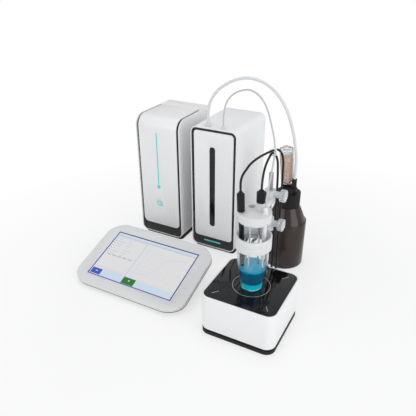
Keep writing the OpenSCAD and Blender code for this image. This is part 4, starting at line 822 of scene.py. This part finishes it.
# each patch: left, bottom, width and height as shares of the screen, then its colour
patches = [
    (0, 0, 1, 1, frame_blue), (0.987, 0, 0.013, 1, frame_dark), (0, 0.978, 1, 0.022, frame_dark),
    (0.013, 0.02, 0.974, 0.958, paper), (0.013, 0.93, 0.974, 0.04, foot_lilac),
    (0.013, 0.905, 0.974, 0.022, title_grey), (0.02, 0.20, 0.375, 0.66, page),
    (0.425, 0.18, 0.55, 0.71, page), (0.155, 0.03, 0.25, 0.14, foot_blue),
    (0.56, 0.03, 0.42, 0.11, foot_blue), (0.405, 0.17, 0.006, 0.70, title_grey),
    (0.02, 0.195, 0.385, 0.005, title_grey), (0.20, 0.50, 0.20, 0.007, title_grey),
    (0.022, 0.03, 0.12, 0.115, button_blue), (0.072, 0.085, 0.025, 0.016, button_mark),
    (0.41, 0.022, 0.145, 0.13, button_green), (0.478, 0.085, 0.016, 0.028, button_mark)]
for row in range(7):
    height = 0.84 - row * 0.055
    patches.append((0.03, height, 0.015, 0.014, text_grey))
    patches.append((0.06, height, 0.04 + 0.02 * ((row * 7) % 4), 0.011, title_grey))
    patches.append((0.19, height, 0.04 + 0.025 * ((row * 5) % 3), 0.011,
                    rose if row in (1, 3) else title_grey))
for word in range(5):
    patches.append((0.05 + word * 0.066, 0.47, 0.05, 0.013, text_grey))
for line in range(1, 8):
    patches.append((0.47, 0.20 + line * 0.08, 0.44, 0.003, grid_grey))
    patches.append((0.47 + line * 0.055, 0.20, 0.0018, 0.64, grid_grey))
patches += [(0.47, 0.20, 0.003, 0.64, title_grey), (0.47, 0.20, 0.45, 0.005, peach),
            (0.92, 0.20, 0.003, 0.64, peach)]
for mark in range(9):
    patches.append((0.48 + mark * 0.05, 0.178, 0.02, 0.009, peach))
    patches.append((0.935, 0.22 + mark * 0.07, 0.014, 0.011, rose))
    patches.append((0.44, 0.22 + mark * 0.07, 0.014, 0.010, title_grey))
curve_points = [(0.475, 0.25), (0.52, 0.265), (0.58, 0.29), (0.63, 0.33), (0.665, 0.42),
                (0.69, 0.56), (0.72, 0.66), (0.77, 0.72), (0.84, 0.75), (0.91, 0.765)]


def painted_film(place, colour):
    """A flat film laid at its place on the screen, with its colour kept in the mesh."""
    bpy.ops.object.select_all(action="DESELECT")
    bpy.ops.mesh.primitive_plane_add(size=1)
    film = bpy.context.object
    film.data.transform(screen_place @ place)
    paint = film.data.color_attributes.new("paint", "FLOAT_COLOR", "CORNER")
    for corner in paint.data:
        corner.color = (*colour, 1)
    return film


films = []
# the first films lie over each other, and all the later ones share one level
first_lift, lift_step, last_level = 0.00004, 0.00003, 17
for number, (left, bottom, width, height, colour) in enumerate(patches):
    lift = first_lift + lift_step * min(number, last_level)
    middle = ((left + width / 2) * screen_w, (bottom + height / 2) * screen_h, lift)
    place = (Matrix.Translation(middle)
             @ Matrix.Diagonal((width * screen_w, height * screen_h, 1, 1)))
    films.append(painted_film(place, colour))
curve_lift, curve_w, curve_overlap = 0.0006, 0.0005, 0.0003
for (x0, y0), (x1, y1) in zip(curve_points, curve_points[1:]):
    run = Vector(((x1 - x0) * screen_w, (y1 - y0) * screen_h))
    middle = ((x0 + x1) / 2 * screen_w, (y0 + y1) / 2 * screen_h, curve_lift)
    place = (Matrix.Translation(middle) @ Matrix.Rotation(math.atan2(run.y, run.x), 4, "Z")
             @ Matrix.Diagonal((run.length + curve_overlap, curve_w, 1, 1)))
    films.append(painted_film(place, curve_blue))
bpy.ops.object.select_all(action="DESELECT")
for film in films:
    film.select_set(True)
picture = films[0]
bpy.context.view_layer.objects.active = picture
bpy.ops.object.join()
picture.name = "screen_picture"
screen_film, tree, shader = new_finish("screen_film", (0.02, 0.02, 0.02), 0.12, shine=0.3)
paint_node = tree.nodes.new("ShaderNodeVertexColor")
paint_node.layer_name = "paint"
tree.links.new(paint_node.outputs["Color"], shader.inputs["Emission Color"])
shader.inputs["Emission Strength"].default_value = 1.0
add_grain(tree, shader, 60, 0.004, 0.0002, uneven=0.02, base=0.12)
dress(picture, screen_film)
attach(picture, "base")
